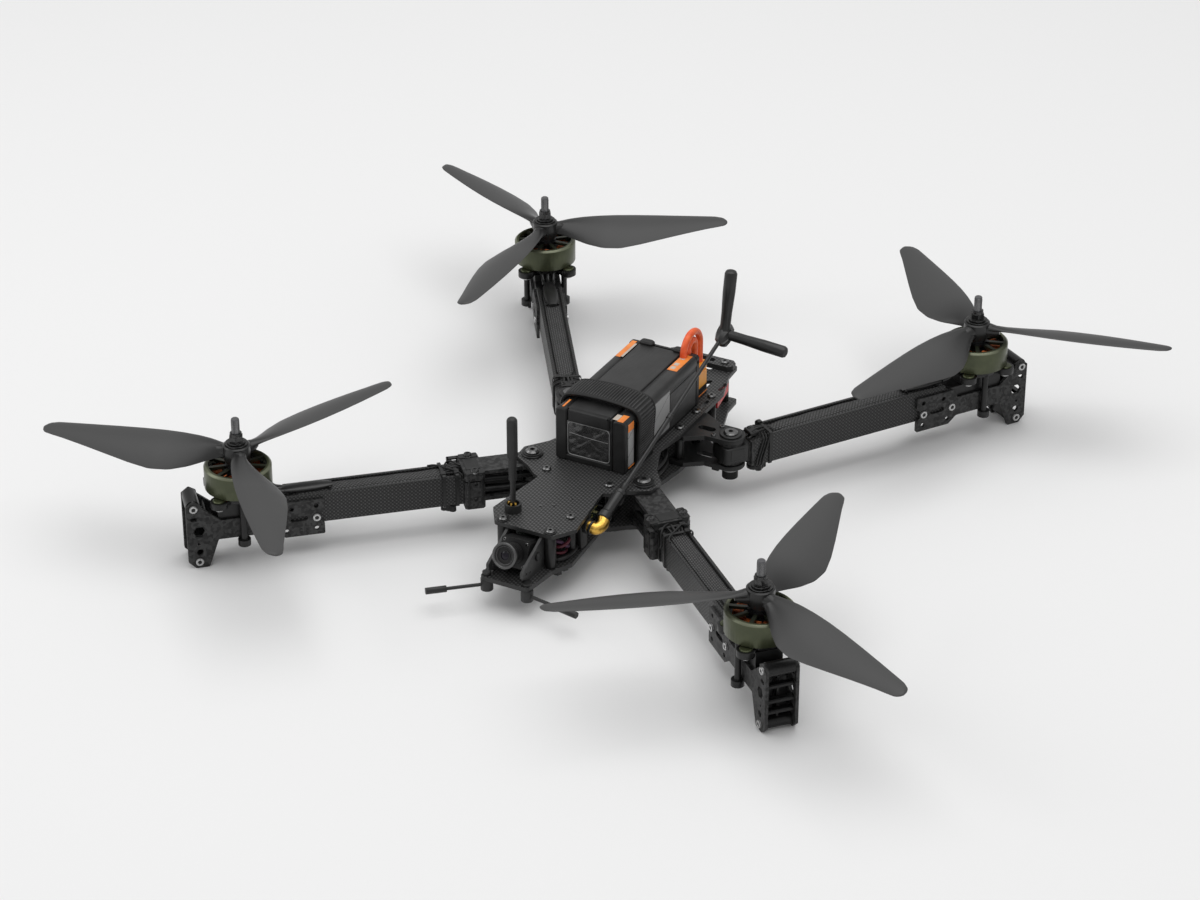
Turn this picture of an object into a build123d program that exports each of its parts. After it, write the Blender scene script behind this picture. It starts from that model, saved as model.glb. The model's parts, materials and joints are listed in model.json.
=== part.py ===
"""Folding 10-inch quadcopter: a two-plate carbon body, four folding arms and four three-bladed rotors.

Millimetres. +Z is up, the nose points along -Y and +X is the left side.
The origin is the centre of the belly bolt square, on the underside of the bottom plate.
"""
from build123d import *
from math import cos, pi, radians, sin
import os

# ---- body plates and the space between them
BOTTOM_T = 3.0
TOP_T = 2.5
PLATE_GAP = 22.0
TOP_Z0 = BOTTOM_T + PLATE_GAP
TOP_Z1 = TOP_Z0 + TOP_T
BELLY_PITCH = 30.5
BELLY_HOLE_R = 1.6
STANDOFF_R = 3.0
NOSE_STANDOFF_R = 3.5
M3_R = 1.5
M3_HEAD_R = 2.75
M3_HEAD_H = 1.8
HOLE_GAP = 0.05          # radial clearance of a screw or pin in its hole
NOSE_POST = (16.4, -137.0)
NECK_POST = (19.0, -116.0)
LOBE_POST = (22.0, -71.0)
TAIL_POST = (27.0, 62.0)
BAR_POST = (17.0, 102.0)
NOSE_END = -166.0        # front edge of the bottom plate
TAIL_END = 107.5         # rear edge of both plates

# ---- arms, measured from their pivot
ARM_LENGTH = 186.0       # pivot to motor axis
FRONT_PIVOT = (39.4, -58.0)
REAR_PIVOT = (58.0, 27.0)
FRONT_ANGLE = -41.8      # direction of the left arms from +X, degrees
REAR_ANGLE = 56.4
TUBE_W = 17.0
TUBE_Z0 = 2.5
TUBE_H = 18.0
TUBE_WALL = 1.5
LIP_W = 2.0
LIP_H = 2.5
TUBE_END = ARM_LENGTH - 26.0
FRONT_TUBE_START = 34.0
REAR_TUBE_START = 13.0
PIVOT_GAP = 0.3          # gap between a knuckle and the plate above or below it
PIVOT_FIT = 0.05         # radial running clearance of a pivot

# ---- front knuckle
FRONT_PIN_R = 2.5
TONGUE_W = 18.0
TONGUE_T = 2.6
BARREL_R = 6.5
CLAMP_S0 = 33.0
CLAMP_S1 = 46.0
CLAMP_W = TUBE_W + 9.0
CLAMP_Z0 = 0.4
CLAMP_Z1 = 25.4
CLAMP_SCREW_W = TUBE_W / 2 + 2.1

# ---- rear knuckle and its bracket
REAR_PIN_R = 3.0
BRACKET_T = 3.0
BRACKET_R = 9.5
REAR_BARREL_R = 8.5
PLUG_END = 34.0          # end of the plug inside the rear tube

# ---- arm end: side plates, foot and spacers, measured from the motor axis
SIDE_T = 2.0
CLAMP_END_S0 = -51.0
CLAMP_END_S1 = -20.0
CLAMP_END_Z0 = -4.8
CLAMP_END_Z1 = 19.5
NARROW_Z0 = 0.2
NARROW_Z1 = 13.5
FOOT_Z = -18.5
FOOT_S = 35.0            # outer edge of the foot
ROLLER_R = 4.6
ROLLER_S = 30.2
ROLLER_Z = 23.6
SOLE_R = 3.6
SOLE_S = 28.2
SOLE_Z = -14.0

# ---- motor
MOUNT_T = 2.5
MOUNT_Z1 = 28.0
MOUNT_Z0 = MOUNT_Z1 - MOUNT_T
LUG_RADIUS = 20.5        # from the motor axis to a mounting screw
LUG_R = 3.9
LUG_H = 2.2
SADDLE_S = 15.0
BELL_R = 21.0
BELL_WALL = 2.1
BELL_Z0 = 31.5
BELL_Z1 = 46.5
BELL_CHAMFER = 1.2
SPOKES = 9
SPOKE_W = 2.4
SPOKE_T = 2.2
AIR_GAP = 1.1            # between the stator and the wall of the bell
STATOR_R = BELL_R - BELL_WALL - AIR_GAP
STATOR_Z0 = 32.6
STATOR_Z1 = 42.4
TEETH = 12
SHAFT_R = 2.5
SHAFT_Z1 = 78.0
STRUT_R = 2.0
STRUT_W = TUBE_W / 2 + SIDE_T + STRUT_R + 0.5   # sideways place of the two mount struts

# ---- propeller
PROP_R = 127.0
HUB_R = 8.5
HUB_Z0 = 48.5
HUB_Z1 = 60.2
BLADES = 3
NUT_Z1 = 68.2
NUT_FLATS = 8.0

# ---- camera
CAMERA_Y = -147.0
CAMERA_Z = 14.6
CAMERA_W = 19.0
CAMERA_H = 18.0
CAMERA_D = 13.0
CAMERA_TILT = 20.0       # lens angle above level as stored
CAGE_X = 10.8
CAGE_T = 1.8
CAMERA_PIN_R = 1.5
LENS_R = 7.8
LENS_LENGTH = 13.0

# ---- battery, strap and leads
BATTERY_W = 49.0
BATTERY_H = 36.5
BATTERY_Y0 = -55.0
BATTERY_Y1 = 49.0
STRAP_T = 1.6
STRAP_W = 22.0
STRAP_Y = -31.0
STRAP_GAP = 0.4
POST_CLEARANCE = 3.0     # from the side of the pack to the screws of the rear brackets
LEAD_R = 2.3
LEAD_RISE = 7.0
PLUG_X = 17.0
PLUG_Y = 60.0
PLUG_W = 8.2
PLUG_D = 16.0
PLUG_SPLIT_Z = TOP_Z1 + 13.0
PLUG_TOP_Z = TOP_Z1 + 23.0

# ---- antennas
ELBOW = (33.0, -107.0, TOP_Z0 - 5.0)
ELBOW_R = 3.0
HEAD = (36.0, 61.0, TOP_Z1 + 49.0)
MAST_R = 1.3
SLEEVE_R = 3.0
SLEEVE_LENGTH = 22.0
BRANCH_R = 3.6
BRANCH_LENGTH = 42.0
STUB = (-16.0, -125.0)
STUB_TOP_Z = TOP_Z1 + 65.0
HOLDER = (13.9, -162.4)  # screw of each receiver antenna holder
ROD_LENGTH = 38.0
ROD_ANGLES = (-10.0, 221.0)   # direction of the left and of the right rod, in degrees from +X
ROD_Z = -4.0

UP = (Align.CENTER, Align.CENTER, Align.MIN)


# ================================================================ helpers
def rod(radius, z0, z1, x=0.0, y=0.0):
    """An upright cylinder between two heights."""
    return Pos(x, y, z0) * Cylinder(radius, z1 - z0, align=UP)


def block(x0, x1, y0, y1, z0, z1):
    """A box between two corners."""
    return Pos((x0 + x1) / 2, (y0 + y1) / 2, (z0 + z1) / 2) * Box(x1 - x0, y1 - y0, z1 - z0)


def along(start, end, radius, end_radius=None):
    """A round bar, or a tapered one, from one point to another."""
    path = Vector(*end) - Vector(*start)
    plane = Plane(origin=start, z_dir=path)
    if end_radius is None:
        return plane * Cylinder(radius, path.length, align=UP)
    return plane * Cone(radius, end_radius, path.length, align=UP)


def cross_rod(radius, w0, w1, s, z):
    """A cylinder along Y between two sideways places."""
    return along((s, w0, z), (s, w1, z), radius)


def outline(points, radius=0.0):
    """A flat face through the points, its corners rounded."""
    face = make_face(Polyline(*points, close=True))
    return fillet(face.vertices(), radius) if radius else face


def slab(points, z0, z1, radius=0.0):
    """A flat plate of the given outline between two heights."""
    return extrude(Pos(0, 0, z0) * outline(points, radius), z1 - z0)


def both_sides(half):
    """Closes a left half outline, listed from nose to tail, with its mirror image."""
    return half + [(-x, y) for x, y in reversed(half)]


def side_slab(points, y0, y1, radius=0.0):
    """A plate in the X-Z plane, given as (x, z) points, between two Y places."""
    face = Plane.XZ.offset(-y1) * outline(points, radius)
    return extrude(face, y1 - y0)


def mirrored(points):
    """The left place and the right place of each (x, y)."""
    return [(side * x, y) for side in (1, -1) for x, y in points]


def save(node, *shapes):
    """Writes one node, as one solid or a group of separate solids."""
    solids = [solid for shape in shapes for solid in shape.solids()]
    whole = solids[0] if len(solids) == 1 else Compound(children=solids)
    export_step(whole, f"parts/{node}.step")


# ================================================================ body plates
FRONT_LOBE = [(27.0, -79.0), (35.0, -72.0), (47.5, -64.5), (48.5, -52.0), (38.0, -38.0)]
BRACKET_POST_X = BATTERY_W / 2 + POST_CLEARANCE
BRACKET_POSTS = [(BRACKET_POST_X, 15.0), (BRACKET_POST_X, 39.0)]
PLATE_SIDE = BRACKET_POST_X + 4.5
TAIL_SIDE = [(PLATE_SIDE - 3.0, -14.0), (PLATE_SIDE, 6.0), (PLATE_SIDE, 70.0), (25.0, 92.0),
             (24.0, TAIL_END), (10.5, TAIL_END),
             (10.5, 95.0)]
TOP_HALF = [(20.0, -141.0), (29.0, -127.0), (22.5, -81.0)] + FRONT_LOBE + TAIL_SIDE
BOTTOM_HALF = [(16.5, NOSE_END), (19.5, -141.0), (26.0, -127.0), (22.5, -81.0)] + FRONT_LOBE + TAIL_SIDE
PLATE_POSTS = [NOSE_POST, NECK_POST, LOBE_POST] + BRACKET_POSTS + [TAIL_POST, BAR_POST]


def plate_holes(z0, z1):
    """Screw holes of every post, and the front pivots, through one plate."""
    holes = [rod(M3_R + HOLE_GAP, z0 - 1, z1 + 1, x, y) for x, y in mirrored(PLATE_POSTS)]
    holes += [rod(FRONT_PIN_R + HOLE_GAP, z0 - 1, z1 + 1, x, y) for x, y in mirrored([FRONT_PIVOT])]
    return holes


def tail_windows():
    """The four triangular windows that leave an X of ribs, and the two edge slots of each side."""
    x, y0, y1, rib = 18.5, 56.0, 88.0, 2.6
    middle = (y0 + y1) / 2
    reach = (y1 - y0) / 2 - 2 * rib
    windows = []
    for sign in (1, -1):
        side = [(sign * (rib + 2), middle), (sign * x, middle - reach), (sign * x, middle + reach)]
        windows.append(side)
    for sign in (1, -1):
        end = middle + sign * (y1 - y0) / 2
        windows.append([(0, middle + sign * (rib + 1)), (-x + 2 * rib, end), (x - 2 * rib, end)])
    cuts = [slab(w, TOP_Z0 - 1, TOP_Z1 + 1, 1.0) for w in windows]
    for sign in (1, -1):
        for y in (50.5, 77.0):
            opening = extrude(SlotOverall(11.0, 2.4, rotation=90), TOP_T + 2)
            slot = Pos(sign * (PLATE_SIDE - 4.4), y, TOP_Z0 - 1) * opening
            cuts.append(slot)
    return cuts


def top_plate():
    plate = slab(both_sides(TOP_HALF), TOP_Z0, TOP_Z1, 2.0)
    inner = BATTERY_W / 2 + STRAP_GAP - STRAP_T
    outer = BATTERY_W / 2 + STRAP_GAP + STRAP_T + 0.3
    for sign in (1, -1):
        x0, x1 = sorted((sign * inner, sign * outer))
        y0, y1 = STRAP_Y - STRAP_W / 2 - 0.4, STRAP_Y + STRAP_W / 2 + 0.4
        plate -= block(x0, x1, y0, y1, TOP_Z0 - 1, TOP_Z1 + 1)
    for cut in plate_holes(TOP_Z0, TOP_Z1) + tail_windows():
        plate -= cut
    plate -= rod(2.2, TOP_Z0 - 1, TOP_Z1 + 1, *STUB)
    for x, y in ((-4.0, -112.0), (3.0, -108.0)):
        plate -= rod(1.0, TOP_Z0 - 1, TOP_Z1 + 1, x, y)
    return plate


def bottom_plate():
    plate = slab(both_sides(BOTTOM_HALF), 0, BOTTOM_T, 2.0)
    for cut in plate_holes(0, BOTTOM_T):
        plate -= cut
    half = BELLY_PITCH / 2
    for x, y in mirrored([(half, half), (half, -half)]):
        plate -= rod(BELLY_HOLE_R, -1, BOTTOM_T + 1, x, y)
    for x, y in mirrored([HOLDER]):
        plate -= rod(M3_R + HOLE_GAP, -1, BOTTOM_T + 1, x, y)
    return plate


def standoffs():
    """The posts between the plates; those at the rear brackets stand between the bracket plates."""
    posts = []
    for x, y in mirrored([NECK_POST, LOBE_POST, TAIL_POST, BAR_POST]):
        posts.append(rod(STANDOFF_R, BOTTOM_T, TOP_Z0, x, y))
    for x, y in mirrored([NOSE_POST]):
        posts.append(rod(NOSE_STANDOFF_R, BOTTOM_T, TOP_Z0, x, y))
    for x, y in mirrored(BRACKET_POSTS):
        posts.append(rod(STANDOFF_R, BOTTOM_T + BRACKET_T, TOP_Z0 - BRACKET_T, x, y))
    return posts


def button_screw(x, y, seat, depth, up=1):
    """A button-head screw: its head on the seat height, its shank going down, or up for up=-1."""
    head = rod(M3_HEAD_R, 0, M3_HEAD_H)
    head = chamfer(head.faces().sort_by(Axis.Z)[-1].edges(), 0.7)
    head -= Pos(0, 0, M3_HEAD_H) * extrude(RegularPolygon(1.15, 6), -1.0)
    screw = head + rod(M3_R, -depth, 0)
    if up < 0:
        screw = Rot(180, 0, 0) * screw
    return Pos(x, y, seat) * screw


def plate_screws():
    screws = []
    for x, y in mirrored(PLATE_POSTS):
        in_bracket = (abs(x), y) in BRACKET_POSTS
        on_bar = (abs(x), y) == BAR_POST
        top = TOP_Z1 + (BAR_T if on_bar else 0)
        depth = top - TOP_Z0 + (BRACKET_T if in_bracket else 0)
        screws.append(button_screw(x, y, top, depth))
        screws.append(button_screw(x, y, 0, BOTTOM_T + (BRACKET_T if in_bracket else 0), up=-1))
    return screws


# ================================================================ tail bar
BAR_T = 3.6


def tail_bar():
    half, depth = 24.0, 5.2
    y = BAR_POST[1]
    points = [(half - 3, y - depth), (half, y - depth + 3), (half, y + depth - 3), (half - 3, y + depth)]
    bar = slab(both_sides(points), TOP_Z1, TOP_Z1 + BAR_T, 1.2)
    bar -= Pos(0, y, TOP_Z1 - 1) * extrude(SlotOverall(20.0, 4.4), BAR_T + 2)
    for x, hole_y in mirrored([BAR_POST]):
        bar -= rod(M3_R + HOLE_GAP, TOP_Z1 - 1, TOP_Z1 + BAR_T + 1, x, hole_y)
    return bar


# ================================================================ rear hinge brackets and pivots
def bracket_outline(side):
    """A plate from the body's edge to a round end about the rear pivot."""
    px, py = REAR_PIVOT
    x0, x1 = BRACKET_POST_X - 6.0, BRACKET_POST_X + 5.5
    arm = make_face(Polyline((x0, 9.5), (x0, 45.0), (x1, 45.0), (46.0, py + BRACKET_R), (px, py + BRACKET_R),
                             (px, py - BRACKET_R), (44.0, py - BRACKET_R), (x1, 9.5), close=True))
    face = arm + Pos(px, py) * Circle(BRACKET_R)
    face -= Pos(px, py) * Circle(REAR_PIN_R + HOLE_GAP)
    face -= Pos(41.0, 27.0) * SlotOverall(12.0, 5.0)
    for x, y in BRACKET_POSTS:
        face -= Pos(x, y) * Circle(M3_R + HOLE_GAP)
    return face if side > 0 else mirror(face, Plane.YZ)


def rear_brackets():
    plates = []
    for side in (1, -1):
        for z in (BOTTOM_T, TOP_Z0 - BRACKET_T):
            plates.append(extrude(Pos(0, 0, z) * bracket_outline(side), BRACKET_T))
    return plates


def pivot_bolts():
    """The front bolts with their washers and nuts, and the rear pins with their heads and foot nuts."""
    parts = []
    for x, y in mirrored([FRONT_PIVOT]):
        head = rod(4.3, TOP_Z1 + 1.0, TOP_Z1 + 3.6)
        head = chamfer(head.faces().sort_by(Axis.Z)[-1].edges(), 1.1)
        head -= Pos(0, 0, TOP_Z1 + 3.6) * extrude(RegularPolygon(1.7, 6), -1.6)
        bolt = rod(5.8, TOP_Z1, TOP_Z1 + 1.0) + head + rod(FRONT_PIN_R, -0.1, TOP_Z1 + 0.5)
        bolt += extrude(Pos(0, 0, -3.4) * RegularPolygon(4.0, 6), 3.4)
        parts.append(Pos(x, y, 0) * bolt)
    for x, y in mirrored([REAR_PIVOT]):
        pin = rod(REAR_PIN_R, BOTTOM_T - 0.1, TOP_Z0 + 0.1)
        pin += chamfer(rod(4.6, TOP_Z0, TOP_Z0 + 2.4).faces().sort_by(Axis.Z)[-1].edges(), 0.8)
        pin += rod(5.2, BOTTOM_T - 8.5, BOTTOM_T)
        pin -= extrude(Pos(0, 0, TOP_Z0 + 2.4) * RegularPolygon(1.7, 6), -1.6)
        parts.append(Pos(x, y, 0) * pin)
    return parts


# ================================================================ camera and its cage
def camera_cage():
    """Two raked side plates that carry the camera between the body plates."""
    points = [(-131.0, TOP_Z0), (-138.5, TOP_Z0), (-165.5, 12.0), (-165.0, 7.5), (-155.5, BOTTOM_T),
              (-131.0, BOTTOM_T)]
    plates = []
    for x0 in (CAGE_X, -CAGE_X - CAGE_T):
        face = Plane.YZ.offset(x0) * outline(points, 2.0)
        plate = extrude(face, CAGE_T)
        pin_hole = along((x0 - 1, CAMERA_Y, CAMERA_Z), (x0 + CAGE_T + 1, CAMERA_Y, CAMERA_Z),
                         CAMERA_PIN_R + PIVOT_FIT)
        plate -= pin_hole
        for y, z in ((-156.0, 8.0), (-160.5, 9.2), (-136.5, 8.0), (-136.5, 19.0)):
            plate -= along((x0 - 1, y, z), (x0 + CAGE_T + 1, y, z), 0.9)
        plates.append(plate)
    return plates


def tilted(shape):
    """Turns a level camera part up to its stored angle about the tilt axis."""
    return Pos(0, CAMERA_Y, CAMERA_Z) * (Rot(-CAMERA_TILT, 0, 0) * shape)


def camera_body():
    """Built level about the tilt axis, facing -Y."""
    body = Box(CAMERA_W, CAMERA_D, CAMERA_H)
    body = chamfer(body.edges().filter_by(Axis.Y), 1.2)
    pin_end = CAGE_X + CAGE_T + 0.2
    for sign in (1, -1):
        body += along((sign * (CAMERA_W / 2 - 1), 0, 0), (sign * (CAGE_X - 0.15), 0, 0), 3.0)
        body += along((sign * (CAGE_X - 1), 0, 0), (sign * (pin_end + 0.1), 0, 0), CAMERA_PIN_R)
        body += along((sign * pin_end, 0, 0), (sign * (pin_end + 1.4), 0, 0), 2.6)
    return tilted(body)


def camera_lens():
    """A ribbed barrel that widens into the front ring around the glass."""
    front = -CAMERA_D / 2
    barrel = along((0, front, 0), (0, front - LENS_LENGTH + 4, 0), 6.2)
    for step in range(3):
        y = front - 1.2 - 2.4 * step
        barrel += along((0, y, 0), (0, y - 1.2, 0), 6.9)
    barrel += along((0, front - LENS_LENGTH + 4.5, 0), (0, front - LENS_LENGTH, 0), LENS_R)
    barrel -= along((0, front - LENS_LENGTH + 1.6, 0), (0, front - LENS_LENGTH - 1, 0), 5.2)
    return tilted(barrel)


# ================================================================ electronics
def flight_stack():
    """Two boards on rubber-damped posts, with their larger components."""
    cx, cy, half, pitch = 0.0, -44.0, 18.0, 15.25
    corners = [(cx + i * pitch, cy + j * pitch) for i in (1, -1) for j in (1, -1)]
    z_low, z_high, board_t = 7.0, 14.5, 1.6
    parts = []
    for z in (z_low, z_high):
        board = block(cx - half, cx + half, cy - half, cy + half, z, z + board_t)
        for x, y in corners:
            board -= rod(1.6, z - 1, z + board_t + 1, x, y)
        for x, y in ((-7.0, -6.0), (7.0, 5.0)):
            board += block(x - 4.5, x + 4.5, cy + y - 4.5, cy + y + 4.5, z + board_t, z + board_t + 2.2)
        parts.append(board)
    for x, y in corners:
        parts.append(rod(2.6, BOTTOM_T, z_low, x, y))
        parts.append(rod(2.6, z_low + board_t, z_high, x, y))
        parts.append(rod(2.6, z_high + board_t, z_high + board_t + 2.0, x, y))
    return parts


def video_transmitter():
    """A finned metal box in the tail, between the body plates."""
    box = block(-17.0, 17.0, 54.0, 88.0, BOTTOM_T, 16.0)
    for step in range(6):
        x = -13.5 + 5.4 * step
        box -= block(x - 1.3, x + 1.3, 53.0, 89.0, 12.5, 17.0)
    return box


# ================================================================ battery
def battery_pack():
    """A wrapped cell block with end frames and recessed side and end panels."""
    half = BATTERY_W / 2
    z0, z1 = TOP_Z1, TOP_Z1 + BATTERY_H
    pack = block(-half, half, BATTERY_Y0, BATTERY_Y1, z0, z1)
    pack = fillet(pack.edges().filter_by(Axis.Y), 2.6)
    recess = 0.6
    y_mid = STRAP_Y + STRAP_W / 2 + 30.0
    pack -= block(-half + 8, half - 8, BATTERY_Y0 - 1, BATTERY_Y0 + recess, z0 + 5, z1 - 7)
    for sign in (1, -1):
        x0, x1 = sorted((sign * (half - recess), sign * (half + 1)))
        pack -= block(x0, x1, BATTERY_Y0 + 4.5, STRAP_Y - STRAP_W / 2 - 1, z0 + 3, z1 - 4.5)
        pack -= block(x0, x1, STRAP_Y + STRAP_W / 2 + 1, y_mid, z0 + 3, z1 - 8)
    return pack


def battery_strap():
    """A closed band around the pack, through the slots of the top plate and under it."""
    x_in = BATTERY_W / 2 + STRAP_GAP
    z_in0, z_in1 = TOP_Z0 - 0.1, TOP_Z1 + BATTERY_H + STRAP_GAP
    x_out, z_out0, z_out1 = x_in + STRAP_T, z_in0 - STRAP_T, z_in1 + STRAP_T
    y0, y1 = STRAP_Y - STRAP_W / 2, STRAP_Y + STRAP_W / 2
    corner = 3.0
    outer = side_slab([(x_out, z_out0), (x_out, z_out1), (-x_out, z_out1), (-x_out, z_out0)], y0, y1, corner)
    inner = side_slab([(x_in, z_in0), (x_in, z_in1), (-x_in, z_in1), (-x_in, z_in0)], y0 - 1, y1 + 1,
                      corner - STRAP_T)
    return outer - inner


def battery_plug():
    """The two mated halves of the power connector, standing behind the pack."""
    x0, x1 = PLUG_X - PLUG_W / 2, PLUG_X + PLUG_W / 2
    y0, y1 = PLUG_Y - PLUG_D / 2, PLUG_Y + PLUG_D / 2
    lower = block(x0, x1, y0, y1, TOP_Z1, PLUG_SPLIT_Z)
    upper = block(x0 + 0.6, x1 - 0.6, y0 + 0.6, y1 - 0.6, PLUG_SPLIT_Z, PLUG_TOP_Z)
    return [chamfer(half.edges().filter_by(Axis.Z), 1.2) for half in (lower, upper)]


LEAD_PLACES = [PLUG_Y - 3.7, PLUG_Y + 3.7]


def battery_lead():
    """Two silicone leads that leave the top rear edge of the pack, arch over and drop into the plug."""
    top = TOP_Z1 + BATTERY_H
    leads = []
    for order, plug_y in enumerate(LEAD_PLACES):
        x = PLUG_X
        start_y = BATTERY_Y1 - 2.5 - 6.0 * order
        crest = top + LEAD_RISE + 5.2 * order
        bend = 0.49 * (plug_y - start_y)
        route = FilletPolyline((x, start_y, top), (x, start_y, crest), (x, plug_y, crest),
                               (x, plug_y, PLUG_TOP_Z),
                               radius=bend if order else min(bend, crest - top - 0.5))
        section = Plane(origin=(x, start_y, top), z_dir=(0, 0, 1)) * Circle(LEAD_R)
        leads.append(sweep(section, path=route))
        print("battery lead bend radius", round(bend, 1))
    return leads


# ================================================================ antennas
def antenna_elbow():
    """A right-angle connector on a holder block that stands on the bottom plate."""
    x, y, z = ELBOW
    ex, ey, ez = mast_direction()
    holder = block(18.0, 24.5, y - 4.0, y + 4.0, BOTTOM_T, TOP_Z0)
    holder -= along((17.0, y, z), (25.5, y, z), 2.0)
    elbow = along((19.0, y, z), (x, y, z), 1.9) + along((24.5, y, z), (27.0, y, z), 4.0)
    elbow += along((26.5, y, z), (x, y, z), ELBOW_R) + Pos(x, y, z) * Sphere(ELBOW_R)
    elbow += along(ELBOW, (x + 9 * ex, y + 9 * ey, z + 9 * ez), ELBOW_R)
    return [holder, elbow]


def mast_direction():
    """Unit direction from the elbow to the antenna head."""
    span = Vector(*HEAD) - Vector(*ELBOW)
    unit = span.normalized()
    return unit.X, unit.Y, unit.Z


def video_antenna():
    """A sleeved thin mast that ends in a head with two whips, one upright and one sideways."""
    ex, ey, ez = mast_direction()

    def at(distance):
        return (ELBOW[0] + distance * ex, ELBOW[1] + distance * ey, ELBOW[2] + distance * ez)

    antenna = along(at(9.0), at(9.0 + SLEEVE_LENGTH), SLEEVE_R, 2.3)
    antenna += along(at(9.0 + SLEEVE_LENGTH - 1), HEAD, MAST_R)
    x, y, z = HEAD
    antenna += Pos(x, y, z) * Rot(0, 0, 12) * Box(10.0, 9.0, 13.0)
    tip_up = (x - 2.0, y + 1.0, z + BRANCH_LENGTH + 2.0)
    tip_side = (x + BRANCH_LENGTH + 2.0, y, z - 2.0)
    antenna += along((x, y, z), tip_up, BRANCH_R - 0.7, BRANCH_R)
    antenna += along((x, y, z), tip_side, BRANCH_R - 0.7, BRANCH_R)
    return antenna


def stub_antenna():
    """A short whip in a ring on the nose of the top plate."""
    x, y = STUB
    ring = rod(5.2, TOP_Z1, TOP_Z1 + 5.5, x, y) - rod(4.0, TOP_Z1 + 1.2, TOP_Z1 + 6.5, x, y)
    whip = rod(2.1, TOP_Z0, TOP_Z1 + 1.3, x, y)
    whip += rod(1.75, TOP_Z1 + 1.2, TOP_Z1 + 24.0, x, y)
    whip += rod(2.5, TOP_Z1 + 22.0, TOP_Z1 + 39.0, x, y)
    whip += rod(3.35, TOP_Z1 + 38.0, STUB_TOP_Z, x, y)
    return fillet((ring + whip).faces().sort_by(Axis.Z)[-1].edges(), 2.6)


def receiver_antennas():
    """Two thin rods with thick tips, held under the front corners of the bottom plate."""
    parts = []
    for sign, angle in zip((1, -1), ROD_ANGLES):
        x, y = sign * HOLDER[0], HOLDER[1]
        dx, dy = cos(radians(angle)), sin(radians(angle))
        holder = rod(3.9, -7.5, 0, x, y)
        thin = along((x, y, ROD_Z), (x + ROD_LENGTH * 0.7 * dx, y + ROD_LENGTH * 0.7 * dy, ROD_Z), 1.1)
        thick = along((x + ROD_LENGTH * 0.66 * dx, y + ROD_LENGTH * 0.66 * dy, ROD_Z),
                      (x + ROD_LENGTH * dx, y + ROD_LENGTH * dy, ROD_Z), 2.1)
        screw = rod(M3_R, 0, BOTTOM_T, x, y) + rod(M3_HEAD_R, BOTTOM_T, BOTTOM_T + M3_HEAD_H, x, y)
        parts.append(holder + thin + thick + screw)
    return parts


# ================================================================ arms, along +X from the pivot at the origin
def arm_tube(start, lip_start):
    """A square carbon tube whose top edges stand up as two lips beside the leads."""
    half = TUBE_W / 2
    top = TUBE_Z0 + TUBE_H
    tube = block(start, TUBE_END, -half, half, TUBE_Z0, top)
    tube -= block(start - 1, TUBE_END + 1, -half + TUBE_WALL, half - TUBE_WALL, TUBE_Z0 + TUBE_WALL,
                  top - TUBE_WALL)
    for sign in (1, -1):
        y0, y1 = sorted((sign * half, sign * (half - LIP_W)))
        tube += block(lip_start, TUBE_END - 2, y0, y1, top, top + LIP_H)
    return tube


def front_knuckle():
    """An upper and a lower tongue about a pivot barrel, ending in the frame that clamps the tube."""
    z0, z1 = BOTTOM_T + PIVOT_GAP, TOP_Z0 - PIVOT_GAP
    half = TONGUE_W / 2
    knuckle = rod(BARREL_R, z0, z1)
    for low, high in ((z0, z0 + TONGUE_T), (z1 - TONGUE_T, z1)):
        knuckle += rod(half, low, high) + block(0, CLAMP_S0 + 1, -half, half, low, high)
    clamp = block(CLAMP_S0, CLAMP_S1, -CLAMP_W / 2, CLAMP_W / 2, CLAMP_Z0, CLAMP_Z1)
    clamp = chamfer(clamp.edges().filter_by(Axis.Z), 1.5)
    clamp -= block(FRONT_TUBE_START, CLAMP_S1 + 1, -TUBE_W / 2, TUBE_W / 2, TUBE_Z0, TUBE_Z0 + TUBE_H)
    clamp -= block(CLAMP_S0 - 1, FRONT_TUBE_START + 1, -TUBE_W / 2 + TUBE_WALL, TUBE_W / 2 - TUBE_WALL,
                   TUBE_Z0 + TUBE_WALL, TUBE_Z0 + TUBE_H - TUBE_WALL)
    for sign in (1, -1):
        side = sign * CLAMP_SCREW_W
        clamp -= rod(M3_R + HOLE_GAP, 12.0, CLAMP_Z1 + 1, (CLAMP_S0 + CLAMP_S1) / 2, side)
        y0, y1 = sorted((sign * (TUBE_W / 2 - 0.1), sign * (CLAMP_W / 2 + 1)))
        clamp -= block(CLAMP_S0 - 1, CLAMP_S1 + 1, y0, y1, 19.4, 20.4)
    knuckle += clamp
    return knuckle - rod(FRONT_PIN_R + PIVOT_FIT, z0 - 1, z1 + 1)


def rear_knuckle():
    """A barrel on the pivot pin, with a plug that fills the end of the tube."""
    z0, z1 = BOTTOM_T + BRACKET_T + PIVOT_GAP, TOP_Z0 - BRACKET_T - PIVOT_GAP
    knuckle = rod(REAR_BARREL_R, z0, z1)
    inner = TUBE_W / 2 - TUBE_WALL
    knuckle += block(0, REAR_TUBE_START, -inner, inner, z0, TUBE_Z0 + TUBE_H - TUBE_WALL)
    knuckle += block(REAR_TUBE_START - 1, PLUG_END, -inner, inner, TUBE_Z0 + TUBE_WALL,
                     TUBE_Z0 + TUBE_H - TUBE_WALL)
    collar = block(REAR_TUBE_START - 2.2, REAR_TUBE_START, -TUBE_W / 2, TUBE_W / 2, TUBE_Z0, TUBE_Z0 + TUBE_H)
    return knuckle + collar - rod(REAR_PIN_R + PIVOT_FIT, z0 - 1, z1 + 1)


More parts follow.
